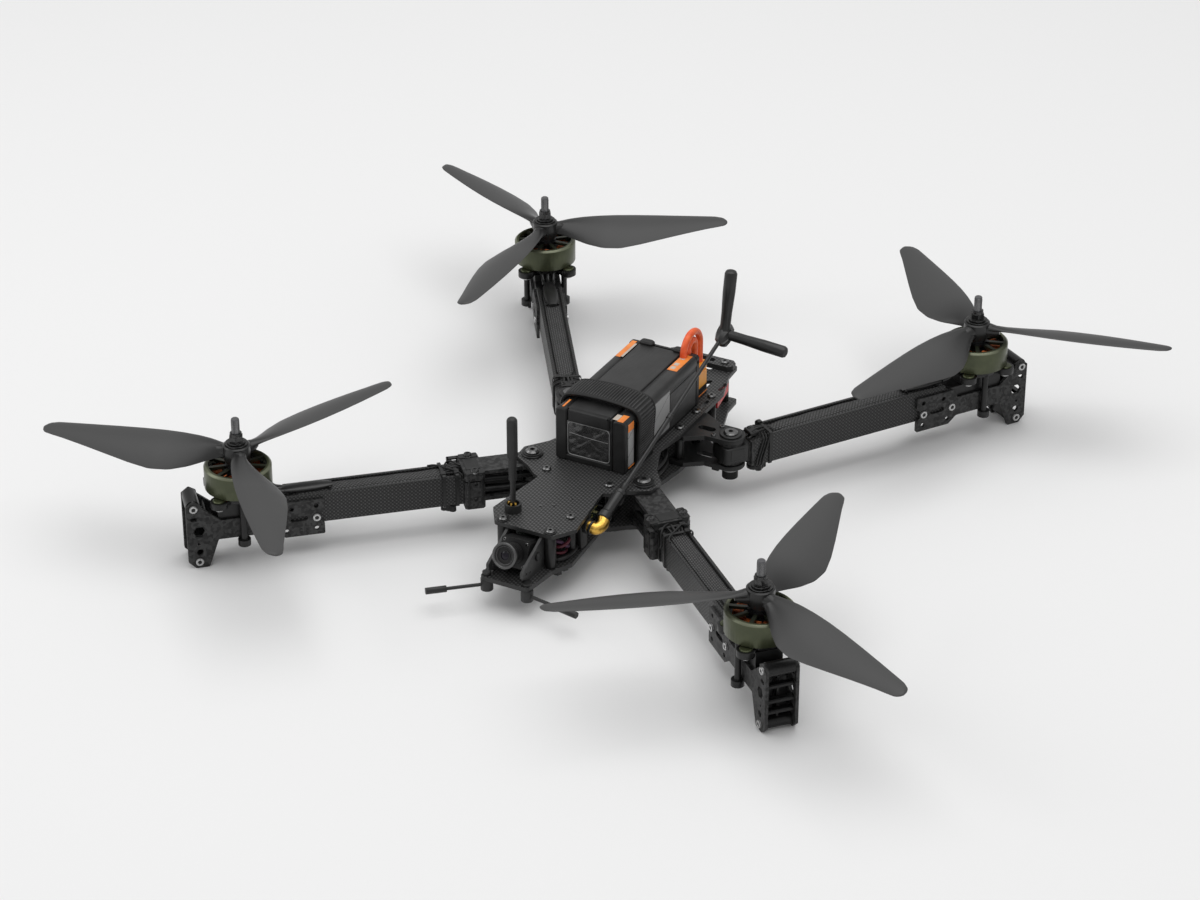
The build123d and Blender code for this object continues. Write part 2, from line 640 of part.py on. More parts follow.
def motor_leads(start):
    """The flat braided sleeve with the three motor leads, lying between the tube's lips."""
    top = TUBE_Z0 + TUBE_H
    sleeve = block(start, TUBE_END - 3, -5.4, 5.4, top, top + 2.2)
    return fillet(sleeve.edges().filter_by(Axis.X).group_by(Axis.Z)[-1], 1.0)


CLAMP_SCREWS = [(-46.0, 7.5), (-24.0, 7.5)]
FOOT_SCREWS = [(ROLLER_S, ROLLER_Z), (SOLE_S, SOLE_Z)]


def end_plate_face():
    """Side view of an arm end: clamp section, narrow neck and T-shaped foot, from the motor axis."""
    neck = 13.5
    points = [(CLAMP_END_S0, CLAMP_END_Z0), (CLAMP_END_S0, 3.0), (CLAMP_END_S0 + 2.5, 5.0),
              (CLAMP_END_S0 + 2.5, 10.0), (CLAMP_END_S0, 12.0), (CLAMP_END_S0, CLAMP_END_Z1),
              (CLAMP_END_S1 - 3, CLAMP_END_Z1), (CLAMP_END_S1, CLAMP_END_Z1 - 3), (CLAMP_END_S1, NARROW_Z1),
              (neck, NARROW_Z1), (ROLLER_S - ROLLER_R, ROLLER_Z), (ROLLER_S - ROLLER_R, ROLLER_Z + 2.0),
              (ROLLER_S, ROLLER_Z + ROLLER_R + 0.2), (FOOT_S, ROLLER_Z + 1.0), (FOOT_S, FOOT_Z + 4.5),
              (FOOT_S - 4.5, FOOT_Z), (FOOT_S - 13.0, FOOT_Z), (neck + 2.0, NARROW_Z0),
              (CLAMP_END_S1, NARROW_Z0), (CLAMP_END_S1 - 6, CLAMP_END_Z0)]
    face = outline(points, 0.9)
    for s, z in CLAMP_SCREWS + FOOT_SCREWS:
        face -= Pos(s, z) * Circle(M3_R + HOLE_GAP)
    face -= Pos(-35.0, 7.5) * SlotOverall(11.0, 3.6)
    for s, z in ((-46.0, 15.5), (-46.0, -0.5), (-30.5, 15.0), (-27.0, -0.5)):
        face -= Pos(s, z) * Circle(1.5)
    face -= Pos(30.0, 16.0) * SlotOverall(5.0, 2.8)
    face -= Pos(27.2, 7.0) * RegularPolygon(3.9, 6)
    face -= Pos(28.0, -1.6) * Circle(0.9)
    face -= Pos(27.4, -7.6) * Circle(2.2)
    return face


def arm_end_plates():
    """The two side plates of an arm end, which also form its foot."""
    plates = []
    inner = TUBE_W / 2
    for y1 in (inner + SIDE_T, -inner):
        plates.append(extrude(Plane.XZ.offset(-y1) * Pos(ARM_LENGTH, 0) * end_plate_face(), SIDE_T))
    return plates


def arm_fasteners(front):
    """Foot rollers and rungs, side screws, motor screws, clamp screws and the lock knob of one arm."""
    half = TUBE_W / 2
    outer = half + SIDE_T
    parts = [cross_rod(ROLLER_R, -half, half, ARM_LENGTH + ROLLER_S, ROLLER_Z),
             cross_rod(SOLE_R, -half, half, ARM_LENGTH + SOLE_S, SOLE_Z)]
    for s, z in ((30.6, 12.4), (31.0, 2.6), (30.6, -5.0)):
        rung = block(ARM_LENGTH + s - 2.2, ARM_LENGTH + s + 2.2, -half, half, z - 1.3, z + 1.3)
        parts.append(chamfer(rung.edges().filter_by(Axis.Y), 0.6))
    for s, z in FOOT_SCREWS + CLAMP_SCREWS:
        for sign in (1, -1):
            shank = cross_rod(M3_R, sign * half, sign * (outer + 0.1), ARM_LENGTH + s, z)
            head = cross_rod(2.4, sign * outer, sign * (outer + 0.8), ARM_LENGTH + s, z)
            socket = cross_rod(1.2, sign * (outer + 0.2), sign * (outer + 1.5), ARM_LENGTH + s, z)
            parts.append(shank + head - socket)
    for x, y in lug_places():
        screw = rod(M3_R, MOUNT_Z0 - 0.1, MOUNT_Z1 + LUG_H - 0.3, ARM_LENGTH + x, y)
        parts.append(screw + rod(M3_HEAD_R, MOUNT_Z0 - 2.0, MOUNT_Z0, ARM_LENGTH + x, y))
    if front:
        for sign in (1, -1):
            parts.append(button_screw((CLAMP_S0 + CLAMP_S1) / 2, sign * CLAMP_SCREW_W, CLAMP_Z1, 10.0))
    parts.append(lock_knob(FRONT_TUBE_START + 20.0 if front else REAR_TUBE_START + 8.0))
    return parts


def lock_knob(s):
    """A three-lobed thumb knob under the root of the tube."""
    knob = rod(3.6, -4.6, -0.6)
    for turn in range(3):
        knob += Rot(0, 0, 120 * turn) * rod(2.3, -4.6, -0.6, 3.2)
    return Pos(s, 0, 0) * (knob + rod(2.0, -0.7, TUBE_Z0))


# ================================================================ motors, about the motor axis
def lug_places():
    """The four mounting screws, on the diagonals of the arm."""
    reach = LUG_RADIUS * cos(pi / 4)
    return [(i * reach, j * reach) for i in (1, -1) for j in (1, -1)]


def motor_mount():
    """A four-eared plate on a saddle that fills the space between the side plates, with two struts."""
    mount = rod(14.5, MOUNT_Z0, MOUNT_Z1)
    for turn in range(4):
        ear = block(0, LUG_RADIUS, -4.2, 4.2, MOUNT_Z0, MOUNT_Z1)
        cup = rod(LUG_R + 1.6, MOUNT_Z0, MOUNT_Z1 + 1.8, LUG_RADIUS, 0)
        cup -= rod(LUG_R + 0.2, MOUNT_Z1, MOUNT_Z1 + 5, LUG_RADIUS, 0)
        cup -= block(0, LUG_RADIUS, -LUG_R - 0.2, LUG_R + 0.2, MOUNT_Z1, MOUNT_Z1 + 5)
        mount += Rot(0, 0, 45 + 90 * turn) * (ear + cup)
    inner = TUBE_W / 2
    mount += block(TUBE_END - ARM_LENGTH + 0.5, SADDLE_S, -inner, inner, NARROW_Z0 + 0.6, TUBE_Z0 + TUBE_H)
    mount += block(-SADDLE_S, SADDLE_S, -inner, inner, TUBE_Z0 + TUBE_H - 1, MOUNT_Z0 + 0.5)
    for sign in (1, -1):
        mount += rod(STRUT_R, NARROW_Z0 - 0.1, MOUNT_Z0 + 0.5, 0, sign * STRUT_W)
        mount += rod(4.0, NARROW_Z0 - 4.2, NARROW_Z0, 0, sign * STRUT_W)
    for x, y in lug_places():
        mount -= rod(M3_R + HOLE_GAP, MOUNT_Z0 - 1, MOUNT_Z1 + 1, x, y)
    return mount


def motor_stator():
    """The fixed half of the motor: lugged base, bearing tube and wound teeth."""
    base = rod(14.0, MOUNT_Z1, MOUNT_Z1 + LUG_H)
    for turn in range(4):
        lug = rod(LUG_R, MOUNT_Z1, MOUNT_Z1 + LUG_H, LUG_RADIUS, 0)
        lug += block(0, LUG_RADIUS, -3.0, 3.0, MOUNT_Z1, MOUNT_Z1 + LUG_H)
        base += Rot(0, 0, 45 + 90 * turn) * lug
    stator = base + rod(6.0, MOUNT_Z1, BELL_Z1 - 3.2) + rod(8.5, STATOR_Z0, STATOR_Z1)
    for turn in range(TEETH):
        tooth = block(7.0, STATOR_R - 1.6, -1.9, 1.9, STATOR_Z0 + 0.6, STATOR_Z1 - 0.6)
        shoe = block(STATOR_R - 1.7, STATOR_R - 0.2, -3.2, 3.2, STATOR_Z0, STATOR_Z1)
        stator += Rot(0, 0, 360 / TEETH * turn) * (tooth + shoe)
    stator -= rod(SHAFT_R + PIVOT_FIT, MOUNT_Z1 - 1, BELL_Z1)
    for x, y in lug_places():
        stator -= rod(M3_R + HOLE_GAP, MOUNT_Z1 - 1, MOUNT_Z1 + LUG_H + 1, x, y)
    return stator


def motor_bell():
    """The turning half of the motor: a ring on spokes, with the shaft through its hub."""
    ring = rod(BELL_R, BELL_Z0, BELL_Z1)
    ring = chamfer(ring.faces().sort_by(Axis.Z)[-1].edges(), BELL_CHAMFER)
    ring -= rod(BELL_R - BELL_WALL, BELL_Z0 - 1, BELL_Z1 - SPOKE_T)
    ring -= rod(BELL_R - BELL_WALL - 0.8, BELL_Z1 - SPOKE_T - 1, BELL_Z1 + 1)
    for turn in range(SPOKES):
        spoke = block(5.0, BELL_R - BELL_WALL, -SPOKE_W / 2, SPOKE_W / 2, BELL_Z1 - SPOKE_T, BELL_Z1 - 0.3)
        ring += Rot(0, 0, 360 / SPOKES * turn) * spoke
    hub = rod(7.4, BELL_Z1 - 2.6, BELL_Z1) + rod(6.4, BELL_Z1 - 0.1, HUB_Z0)
    shaft = rod(SHAFT_R, MOUNT_Z1 + 0.4, SHAFT_Z1)
    shaft = chamfer(shaft.faces().sort_by(Axis.Z)[-1].edges(), 0.5)
    return ring + hub + shaft


# radius, chord, leading edge ahead of the blade axis, pitch in degrees, thickness
BLADE_SECTIONS = [(5.0, 9.0, 4.5, 30.0, 4.6),
                  (14.0, 16.0, 6.5, 32.0, 3.6),
                  (27.0, 27.0, 8.8, 29.0, 2.9),
                  (45.0, 33.0, 9.6, 24.0, 2.5),
                  (64.0, 31.0, 9.0, 19.0, 2.1),
                  (92.0, 23.0, 7.5, 14.0, 1.7),
                  (114.0, 15.5, 5.5, 11.0, 1.4),
                  (124.0, 11.5, 3.8, 9.5, 1.2),
                  (PROP_R, 7.5, 2.2, 9.0, 1.0)]


def blade(spin):
    """One blade along +X whose leading edge faces the way it turns: spin is 1 anticlockwise, -1 clockwise."""
    middle = (HUB_Z0 + HUB_Z1) / 2
    sections = []
    for radius, chord, lead, pitch, thick in BLADE_SECTIONS:
        ahead = lead - chord / 2
        plane = Plane(origin=(radius, -ahead, middle + ahead * sin(radians(pitch)) * 0.5),
                      x_dir=(0, -cos(radians(pitch)), sin(radians(pitch))), z_dir=(1, 0, 0))
        sections.append(plane * Ellipse(chord / 2, thick / 2))
    clockwise = loft(sections)
    return clockwise if spin < 0 else mirror(clockwise, Plane.XZ)


def propeller(spin):
    prop = rod(HUB_R, HUB_Z0, HUB_Z1)
    prop = chamfer(prop.faces().sort_by(Axis.Z)[-1].edges(), 0.8)
    for turn in range(BLADES):
        prop += Rot(0, 0, 360 / BLADES * turn) * blade(spin)
    return prop - rod(SHAFT_R + HOLE_GAP, HUB_Z0 - 1, HUB_Z1 + 1)


def prop_nut():
    """A washer and a flanged lock nut on the shaft's thread."""
    washer = rod(7.0, HUB_Z1, HUB_Z1 + 1.0)
    nut = rod(5.6, HUB_Z1 + 1.0, HUB_Z1 + 2.2)
    nut += extrude(Pos(0, 0, HUB_Z1 + 2.1) * RegularPolygon(NUT_FLATS / 2, 6, major_radius=False), 3.9)
    nut += rod(3.7, HUB_Z1 + 5.9, NUT_Z1)
    bore = rod(SHAFT_R + HOLE_GAP, HUB_Z1 - 1, NUT_Z1 + 1)
    return [washer - bore, nut - bore]


# ================================================================ one corner of the quadcopter
# name, side (1 left, -1 right), front?, spin, direction of the first blade in plan at rest
CORNERS = [("front_left", 1, True, 1, 95.0),
           ("front_right", -1, True, -1, 72.0),
           ("rear_left", 1, False, -1, 134.0),
           ("rear_right", -1, False, 1, 154.0)]


def place_arm(side, front):
    """Location of an arm's pivot and direction."""
    x, y = FRONT_PIVOT if front else REAR_PIVOT
    angle = FRONT_ANGLE if front else REAR_ANGLE
    return Pos(side * x, y, 0) * Rot(0, 0, angle if side > 0 else 180 - angle)


def save_corner(name, side, front, spin, blade_angle):
    at = place_arm(side, front)
    tube_start = FRONT_TUBE_START if front else REAR_TUBE_START
    lip_start = CLAMP_S1 + 1.5 if front else REAR_TUBE_START + 10.0
    save(f"arm_tube_{name}", at * arm_tube(tube_start, lip_start))
    save(f"arm_knuckle_{name}", at * (front_knuckle() if front else rear_knuckle()))
    save(f"motor_leads_{name}", at * motor_leads(lip_start + 4.0))
    save(f"arm_end_plates_{name}", *[at * plate for plate in arm_end_plates()])
    save(f"arm_fasteners_{name}", *[at * piece for piece in arm_fasteners(front)])
    motor_at = at * Pos(ARM_LENGTH, 0, 0)
    save(f"motor_mount_{name}", motor_at * motor_mount())
    save(f"motor_stator_{name}", motor_at * motor_stator())
    save(f"motor_bell_{name}", motor_at * motor_bell())
    axis_at = Pos(motor_at.position.X, motor_at.position.Y, 0)
    save(f"propeller_{name}", axis_at * Rot(0, 0, blade_angle) * propeller(spin))
    save(f"prop_nut_{name}", *[axis_at * piece for piece in prop_nut()])
    print(name, "motor axis", round(axis_at.position.X, 3), round(axis_at.position.Y, 3))


# ================================================================ write every node
os.makedirs("parts", exist_ok=True)
save("top_plate", top_plate())
save("bottom_plate", bottom_plate())
save("standoffs", *standoffs())
save("plate_screws", *plate_screws())
save("tail_bar", tail_bar())
save("rear_brackets", *rear_brackets())
save("pivot_bolts", *pivot_bolts())
save("camera_cage", *camera_cage())
save("camera_body", camera_body())
save("camera_lens", camera_lens())
save("flight_stack", *flight_stack())
save("video_transmitter", video_transmitter())
save("battery_pack", battery_pack())
save("battery_strap", battery_strap())
save("battery_plug", *battery_plug())
save("battery_lead", *battery_lead())
save("antenna_elbow", *antenna_elbow())
save("video_antenna", video_antenna())
save("stub_antenna", stub_antenna())
save("receiver_antennas", *receiver_antennas())
for corner in CORNERS:
    save_corner(*corner)
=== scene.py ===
"""A folding 10-inch quadcopter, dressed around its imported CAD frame.

Lengths are in millimetres until a mesh is made. Along an arm, s runs outwards, w sideways and z up.
"""

import json
import math
import random

import bmesh
import bpy
from mathutils import Matrix, Vector, noise


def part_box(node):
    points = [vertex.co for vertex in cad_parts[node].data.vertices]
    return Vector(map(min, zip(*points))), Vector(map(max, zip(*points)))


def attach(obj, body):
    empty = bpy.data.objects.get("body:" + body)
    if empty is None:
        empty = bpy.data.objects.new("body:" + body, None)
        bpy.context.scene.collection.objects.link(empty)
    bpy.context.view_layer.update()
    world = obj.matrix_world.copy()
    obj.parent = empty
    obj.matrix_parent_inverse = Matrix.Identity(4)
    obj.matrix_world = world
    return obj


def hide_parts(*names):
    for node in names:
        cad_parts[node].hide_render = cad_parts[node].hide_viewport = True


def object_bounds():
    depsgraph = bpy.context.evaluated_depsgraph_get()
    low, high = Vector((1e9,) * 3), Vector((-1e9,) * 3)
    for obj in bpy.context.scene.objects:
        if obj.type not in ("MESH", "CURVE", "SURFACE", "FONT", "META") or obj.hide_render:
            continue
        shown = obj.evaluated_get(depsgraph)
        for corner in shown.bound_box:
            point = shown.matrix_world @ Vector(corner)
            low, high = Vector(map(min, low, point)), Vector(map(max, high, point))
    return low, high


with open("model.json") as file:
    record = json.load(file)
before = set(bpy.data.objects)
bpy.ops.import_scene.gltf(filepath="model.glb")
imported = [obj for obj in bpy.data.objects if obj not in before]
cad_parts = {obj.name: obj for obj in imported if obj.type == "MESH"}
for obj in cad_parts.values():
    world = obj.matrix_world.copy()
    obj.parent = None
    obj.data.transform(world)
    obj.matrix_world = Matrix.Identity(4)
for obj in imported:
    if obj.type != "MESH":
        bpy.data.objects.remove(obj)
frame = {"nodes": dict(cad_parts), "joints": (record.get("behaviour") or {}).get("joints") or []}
cad_box = [list(corner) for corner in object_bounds()]

MM = 0.001
JOINTS = {joint["name"]: joint for joint in frame["joints"]}
# name, turning direction (1 anticlockwise), direction of the first blade in degrees
CORNERS = [("front_left", 1, 95.0), ("front_right", -1, 72.0),
           ("rear_left", -1, 134.0), ("rear_right", 1, 154.0)]


def box_mm(node):
    """Lowest and highest corner of a CAD node, in millimetres."""
    low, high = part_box(node)
    return low * 1000, high * 1000


class Corner:
    """One arm: its name, its bodies and the frames of its pivot, motor and rotor."""

    def __init__(self, name, spin, blade_angle):
        pivot = Vector(JOINTS["fold_" + name]["pos_m"]) * 1000
        motor = Vector(JOINTS["spin_" + name]["pos_m"]) * 1000
        span = (motor - pivot).xy
        self.name, self.spin, self.blade_angle = name, spin, math.radians(blade_angle)
        self.front = name.startswith("front")
        self.arm_body, self.rotor_body = "arm_" + name, "rotor_" + name
        self.length, self.angle = span.length, math.atan2(span.y, span.x)
        self.pivot, self.motor = Vector((pivot.x, pivot.y, 0)), Vector((motor.x, motor.y, 0))
        turn = Matrix.Rotation(self.angle, 4, "Z")
        self.arm = Matrix.Translation(self.pivot) @ turn
        self.mount = Matrix.Translation(self.motor) @ turn
        self.rotor = Matrix.Translation(self.motor) @ Matrix.Rotation(self.blade_angle, 4, "Z")


corners = [Corner(*row) for row in CORNERS]

PLATE_LOW, PLATE_HIGH = box_mm("top_plate")
DECK = PLATE_HIGH.z
STRAP_FRONT, STRAP_REAR = (end.y for end in box_mm("battery_strap"))
CAMERA_AIM = (Matrix.Translation(Vector(JOINTS["camera_tilt"]["pos_m"]) * 1000)
              @ Matrix.Rotation(math.radians(-20.0), 4, "X"))
AERIAL_FOOT = Vector((33.0, -107.0, PLATE_LOW.z - 5.0))
AERIAL_HEAD = Vector((36.0, 61.0, DECK + 49.0))
AERIAL_RUN = (AERIAL_HEAD - AERIAL_FOOT).normalized()


# ---------------------------------------- materials
class Paint:
    """A node material: one Principled shader and short ways to wire nodes into it."""

    def __init__(self, name, rough=0.5, metal=0.0, specular=0.5):
        self.mat = bpy.data.materials.new(name)
        self.mat.use_nodes = True
        self.tree = self.mat.node_tree
        self.bsdf = self.tree.nodes["Principled BSDF"]
        self.set("Roughness", rough)
        self.set("Metallic", metal)
        self.set("Specular IOR Level", specular)

    def wire(self, socket, value):
        """Links a socket to another one, or gives it a value."""
        if isinstance(value, bpy.types.NodeSocket):
            self.tree.links.new(value, socket)
        elif value is not None:
            socket.default_value = value

    def set(self, socket, value):
        self.wire(self.bsdf.inputs[socket], value)

    def node(self, kind, *inputs, out=0, **settings):
        """A shader node with its inputs in order, and one of its outputs."""
        made = self.tree.nodes.new("ShaderNode" + kind)
        for key, value in settings.items():
            setattr(made, key, value)
        for socket, value in zip(made.inputs, inputs):
            self.wire(socket, value)
        return made.outputs[out]

    def math(self, operation, *inputs):
        return self.node("Math", *inputs, operation=operation)

    def add(self, a, b):
        return self.math("ADD", a, b)

    def times(self, a, b):
        return self.math("MULTIPLY", a, b)

    def size(self, a, b):
        return self.math("SQRT", self.add(self.times(a, a), self.times(b, b)))

    def place(self, at=(0, 0, 0), angle=0.0):
        """Rest coordinates in millimetres, about a point and turned about Z."""
        coords = self.node("TexCoord", out=3)
        origin = tuple(value * MM for value in at)
        return self.node("Mapping", coords, origin, (0, 0, angle), (MM, MM, MM), vector_type="TEXTURE")

    def facing(self, angle=0.0):
        """The surface normal in the same turned frame, as three numbers."""
        normal = self.node("TexCoord", out=1)
        turned = self.node("VectorRotate", normal, None, None, -angle, rotation_type="Z_AXIS")
        return self.split(turned)

    def split(self, vector):
        """The three numbers of a vector."""
        parts = self.tree.nodes.new("ShaderNodeSeparateXYZ")
        self.wire(parts.inputs[0], vector)
        return list(parts.outputs)

    def join(self, x, y, z):
        return self.node("CombineXYZ", x, y, z)

    def noise(self, vector, scale, detail=2.0, rough=0.5):
        return self.node("TexNoise", vector, None, scale, detail, rough)

    def step(self, value, low, high):
        """0 below low and 1 above high, smoothly."""
        return self.node("MapRange", value, low, high, 0.0, 1.0, interpolation_type="SMOOTHSTEP")

    def above(self, value, limit):
        return self.math("GREATER_THAN", value, limit)

    def mix(self, factor, a, b):
        """From colour a to colour b, each a grey, three numbers or a socket."""
        made = self.tree.nodes.new("ShaderNodeMix")
        made.data_type = "RGBA"
        for index, value in ((0, factor), (6, colour(a)), (7, colour(b))):
            self.wire(made.inputs[index], value)
        return made.outputs[2]

    def blend(self, factor, a, b):
        """From number a to number b."""
        made = self.tree.nodes.new("ShaderNodeMix")
        for index, value in ((0, factor), (2, a), (3, b)):
            self.wire(made.inputs[index], value)
        return made.outputs[0]

    def mottle(self, coords, scale, low, high, detail=2.0, rough=0.5, start=0.3, end=0.7):
        """Soft patches of two colours."""
        return self.mix(self.step(self.noise(coords, scale, detail, rough), start, end), low, high)

    def bump(self, height, depth, strength=1.0):
        """Relief: height runs from 0 to 1 and depth is in millimetres."""
        made = self.tree.nodes.new("ShaderNodeBump")
        made.inputs["Strength"].default_value = strength
        made.inputs["Distance"].default_value = depth * MM
        self.wire(made.inputs["Height"], height)
        self.set("Normal", made.outputs[0])

    def weave(self, u, v):
        """Plain cloth: which thread is on top, and its height from 0 to 1."""
        across, up = self.math("FRACT", u), self.math("FRACT", v)
        phase = self.math("FLOORED_MODULO", self.add(self.math("FLOOR", u), self.math("FLOOR", v)), 2.0)
        warp = self.math("LESS_THAN", phase, 0.5)
        crown = self.math("SINE", self.times(self.blend(warp, up, across), math.pi))
        arch = self.math("SINE", self.times(self.blend(warp, across, up), math.pi))
        arch = self.math("POWER", self.math("MAXIMUM", arch, 0.02), 0.5)
        return warp, self.times(self.math("POWER", crown, 0.6), arch)

    def cells(self, along, across, shift):
        """Rounded cells in rows, each row moved along by a share of a cell: the height runs from 0 to 1."""
        moved = self.add(along, self.times(self.math("FLOOR", across), shift))
        ridges = [self.math("SINE", self.times(self.math("FRACT", way), math.pi)) for way in (moved, across)]
        return self.math("POWER", self.times(ridges[0], ridges[1]), 0.7)


def colour(value):
    """Four channels for a grey or three numbers; a socket stays as it is."""
    if isinstance(value, float):
        return (value, value, value, 1.0)
    return (*value, 1.0) if isinstance(value, tuple) else value


CLOTH_CELL = 1.95
TUBE_THREAD = 1.75


def carbon_plate():
    """Rows of woven cells on the faces of a flat plate and layers on its edges."""
    paint = Paint("carbon_plate", rough=0.40, specular=0.35)
    x, y, z = paint.split(paint.place())
    height = paint.cells(paint.math("DIVIDE", y, CLOTH_CELL * 1.45), paint.math("DIVIDE", x, CLOTH_CELL), 0.4)
    fibre = paint.noise(paint.join(paint.times(x, 4.0), paint.times(y, 0.5), z), 1.0)
    # painted highlight and shade: the crowns of the cells are lit in the base colour and the gaps between
    # them kept near black
    shine = paint.times(paint.math("POWER", height, 1.5), paint.blend(fibre, 0.7, 1.15))
    woven = paint.mix(shine, 0.005, 0.092)
    flat = paint.above(paint.math("ABSOLUTE", paint.facing()[2]), 0.5)
    layers = paint.math("SINE", paint.times(z, 24.0))
    edge = paint.mix(paint.step(layers, -0.6, 0.6), 0.012, 0.03)
    paint.set("Base Color", paint.mix(flat, edge, woven))
    paint.bump(paint.times(height, flat), 0.16, 0.8)
    return paint


def carbon_tube(corner):
    """Cloth laid at 45 degrees on a square tube, its brighter crossings reading as a diamond grid; the
    brightness is a painted highlight on the thread crowns, with painted shade in the gaps between them.
    """
    paint = Paint("carbon_tube_" + corner.name, rough=0.42, specular=0.35)
    s, w, z = paint.split(paint.place(corner.pivot, corner.angle))
    side = paint.above(paint.math("ABSOLUTE", paint.facing(corner.angle)[1]), 0.5)
    across = paint.blend(side, w, z)
    diagonal = TUBE_THREAD * math.sqrt(2)
    u = paint.math("DIVIDE", paint.add(s, across), diagonal)
    v = paint.math("DIVIDE", paint.math("SUBTRACT", s, across), diagonal)
    warp, height = paint.weave(u, v)
    # painted sheen: one thread direction is lighter than the other, as light falls along it
    tone = paint.mix(warp, 0.072, 0.050)
    # painted highlight on the thread crowns and painted shade in the gaps between them
    paint.set("Base Color", paint.mix(paint.math("POWER", height, 2.2), 0.004, tone))
    paint.bump(height, 0.2, 0.8)
    return paint


def forged_carbon(corner):
    """Chopped fibres pressed in resin: flakes of slightly different grey."""
    paint = Paint("forged_carbon_" + corner.name, rough=0.5, specular=0.3)
    coords = paint.place(corner.motor, corner.angle)
    flakes = paint.node("TexVoronoi", coords, None, 0.55, out=1, distance="CHEBYCHEV")
    tone = paint.node("SeparateColor", flakes)
    fine = paint.noise(coords, 2.6, 3.0, 0.7)
    shade = paint.add(paint.times(tone, 0.6), paint.times(fine, 0.5))
    paint.set("Base Color", paint.mix(paint.step(shade, 0.25, 0.85), 0.010, 0.044))
    paint.set("Roughness", paint.blend(fine, 0.38, 0.62))
    paint.bump(fine, 0.05, 0.5)
    return paint


def moulded(name, low, high, rough=0.5, grain=2.2, depth=0.04, specular=0.5):
    """Fine-grained plastic or blasted metal."""
    paint = Paint(name, rough, specular=specular)
    coords = paint.place()
    fine = paint.noise(coords, grain, 4.0, 0.65)
    paint.set("Base Color", paint.mottle(coords, 0.12, low, high, 3.0))
    paint.set("Roughness", paint.blend(fine, rough - 0.07, rough + 0.09))
    paint.bump(fine, depth, 0.6)
    return paint


def steel(name, low, high, rough=0.28):
    paint = Paint(name, rough, metal=1.0)
    coords = paint.place()
    paint.set("Base Color", paint.mottle(coords, 1.4, low, high, 3.0, 0.6))
    paint.set("Roughness", paint.blend(paint.noise(coords, 3.0, 3.0), rough - 0.06, rough + 0.12))
    return paint


def patchy(name, low, high, scale, detail=2.0, start=0.3, end=0.7, **surface):
    """Smooth metal or rubber in soft patches of two colours."""
    paint = Paint(name, **surface)
    paint.set("Base Color", paint.mottle(paint.place(), scale, low, high, detail, start=start, end=end))
    return paint


plate_paint = carbon_plate()
black_alloy = moulded("black_alloy", 0.006, 0.012, rough=0.36, grain=3.0, depth=0.02, specular=0.4)
black_plastic = moulded("black_plastic", 0.008, 0.014, rough=0.42, specular=0.35)
antenna_plastic = moulded("antenna_plastic", 0.012, 0.018, rough=0.42, grain=2.6, specular=0.4)
mast_rubber = moulded("mast_rubber", 0.009, 0.014, rough=0.32, grain=1.2, depth=0.03, specular=0.45)
cage_paint = moulded("cage_plate", 0.030, 0.044, rough=0.42, grain=2.0, depth=0.03, specular=0.35)
bright_steel = steel("bright_steel", 0.13, 0.22, 0.24)
dark_steel = steel("dark_steel", 0.045, 0.085, 0.24)
gold = patchy("gold", (0.62, 0.36, 0.07), (0.80, 0.50, 0.11), 0.7, 3.0, start=0.35, rough=0.30, metal=1.0)
copper = patchy("copper_wire", (0.16, 0.036, 0.010), (0.46, 0.12, 0.03), 0.6, start=0.35, end=0.65,
                rough=0.3, metal=0.75)
motor_olive = patchy("motor_base", (0.060, 0.070, 0.034), (0.085, 0.096, 0.048), 0.3, rough=0.38, metal=0.5)
silicone = patchy("lead_silicone", (0.72, 0.085, 0.018), (0.86, 0.14, 0.03), 0.25, rough=0.42)
# near black for the floors of screw sockets and the step round the lens glass: painted shade in recesses
recess_shade = moulded("recess_shade", 0.002, 0.004, rough=0.5)
ring_steel = steel("ring_steel", 0.42, 0.58, 0.24)
thread_steel = steel("thread_steel", 0.10, 0.17, 0.26)
shrink_black = moulded("shrink_black", 0.008, 0.014, rough=0.36, grain=0.8, depth=0.06)
connector_black = moulded("connector_black", 0.007, 0.011, rough=0.36)
connector_amber = moulded("connector_amber", (0.75, 0.27, 0.012), (0.86, 0.36, 0.02), rough=0.34)
label_orange = moulded("label_orange", (0.72, 0.20, 0.035), (0.84, 0.27, 0.05), rough=0.38)
label_grey = moulded("label_grey", (0.42, 0.36, 0.31), (0.52, 0.46, 0.40), rough=0.4)
# light grey lines on the edges and folds of the film: painted highlights
film_highlight = moulded("film_highlight", 0.16, 0.24, rough=0.2)
webbing = moulded("strap_webbing", 0.004, 0.008, rough=0.5, grain=3.0, depth=0.10, specular=0.35)
# lighter copy of the webbing for the rib crests: a painted highlight
webbing_rib_highlight = moulded("strap_rib_highlight", 0.026, 0.038, rough=0.5, grain=3.0, depth=0.10, specular=0.4)
lens_grey = moulded("lens_ring", 0.055, 0.085, rough=0.26)
glass = moulded("lens_glass", (0.002, 0.001, 0.004), (0.004, 0.002, 0.008), rough=0.16, depth=0.0,
                specular=0.3)
board_green = moulded("circuit_board", (0.006, 0.012, 0.009), (0.012, 0.022, 0.014), rough=0.4)
board_chip = moulded("circuit_chip", (0.20, 0.19, 0.05), (0.42, 0.40, 0.22), rough=0.35)
wire_purple = moulded("wire_purple", (0.035, 0.008, 0.034), (0.06, 0.013, 0.055), rough=0.4)
wire_red = moulded("wire_red", (0.060, 0.006, 0.014), (0.095, 0.008, 0.020), rough=0.4)
strip_red = moulded("strip_red", (0.52, 0.020, 0.020), (0.66, 0.032, 0.030), rough=0.4, specular=0.3)


# ---------------------------------------- shapes
ON_AXIS = 0.02      # smallest radius, so that a profile can start on its axis


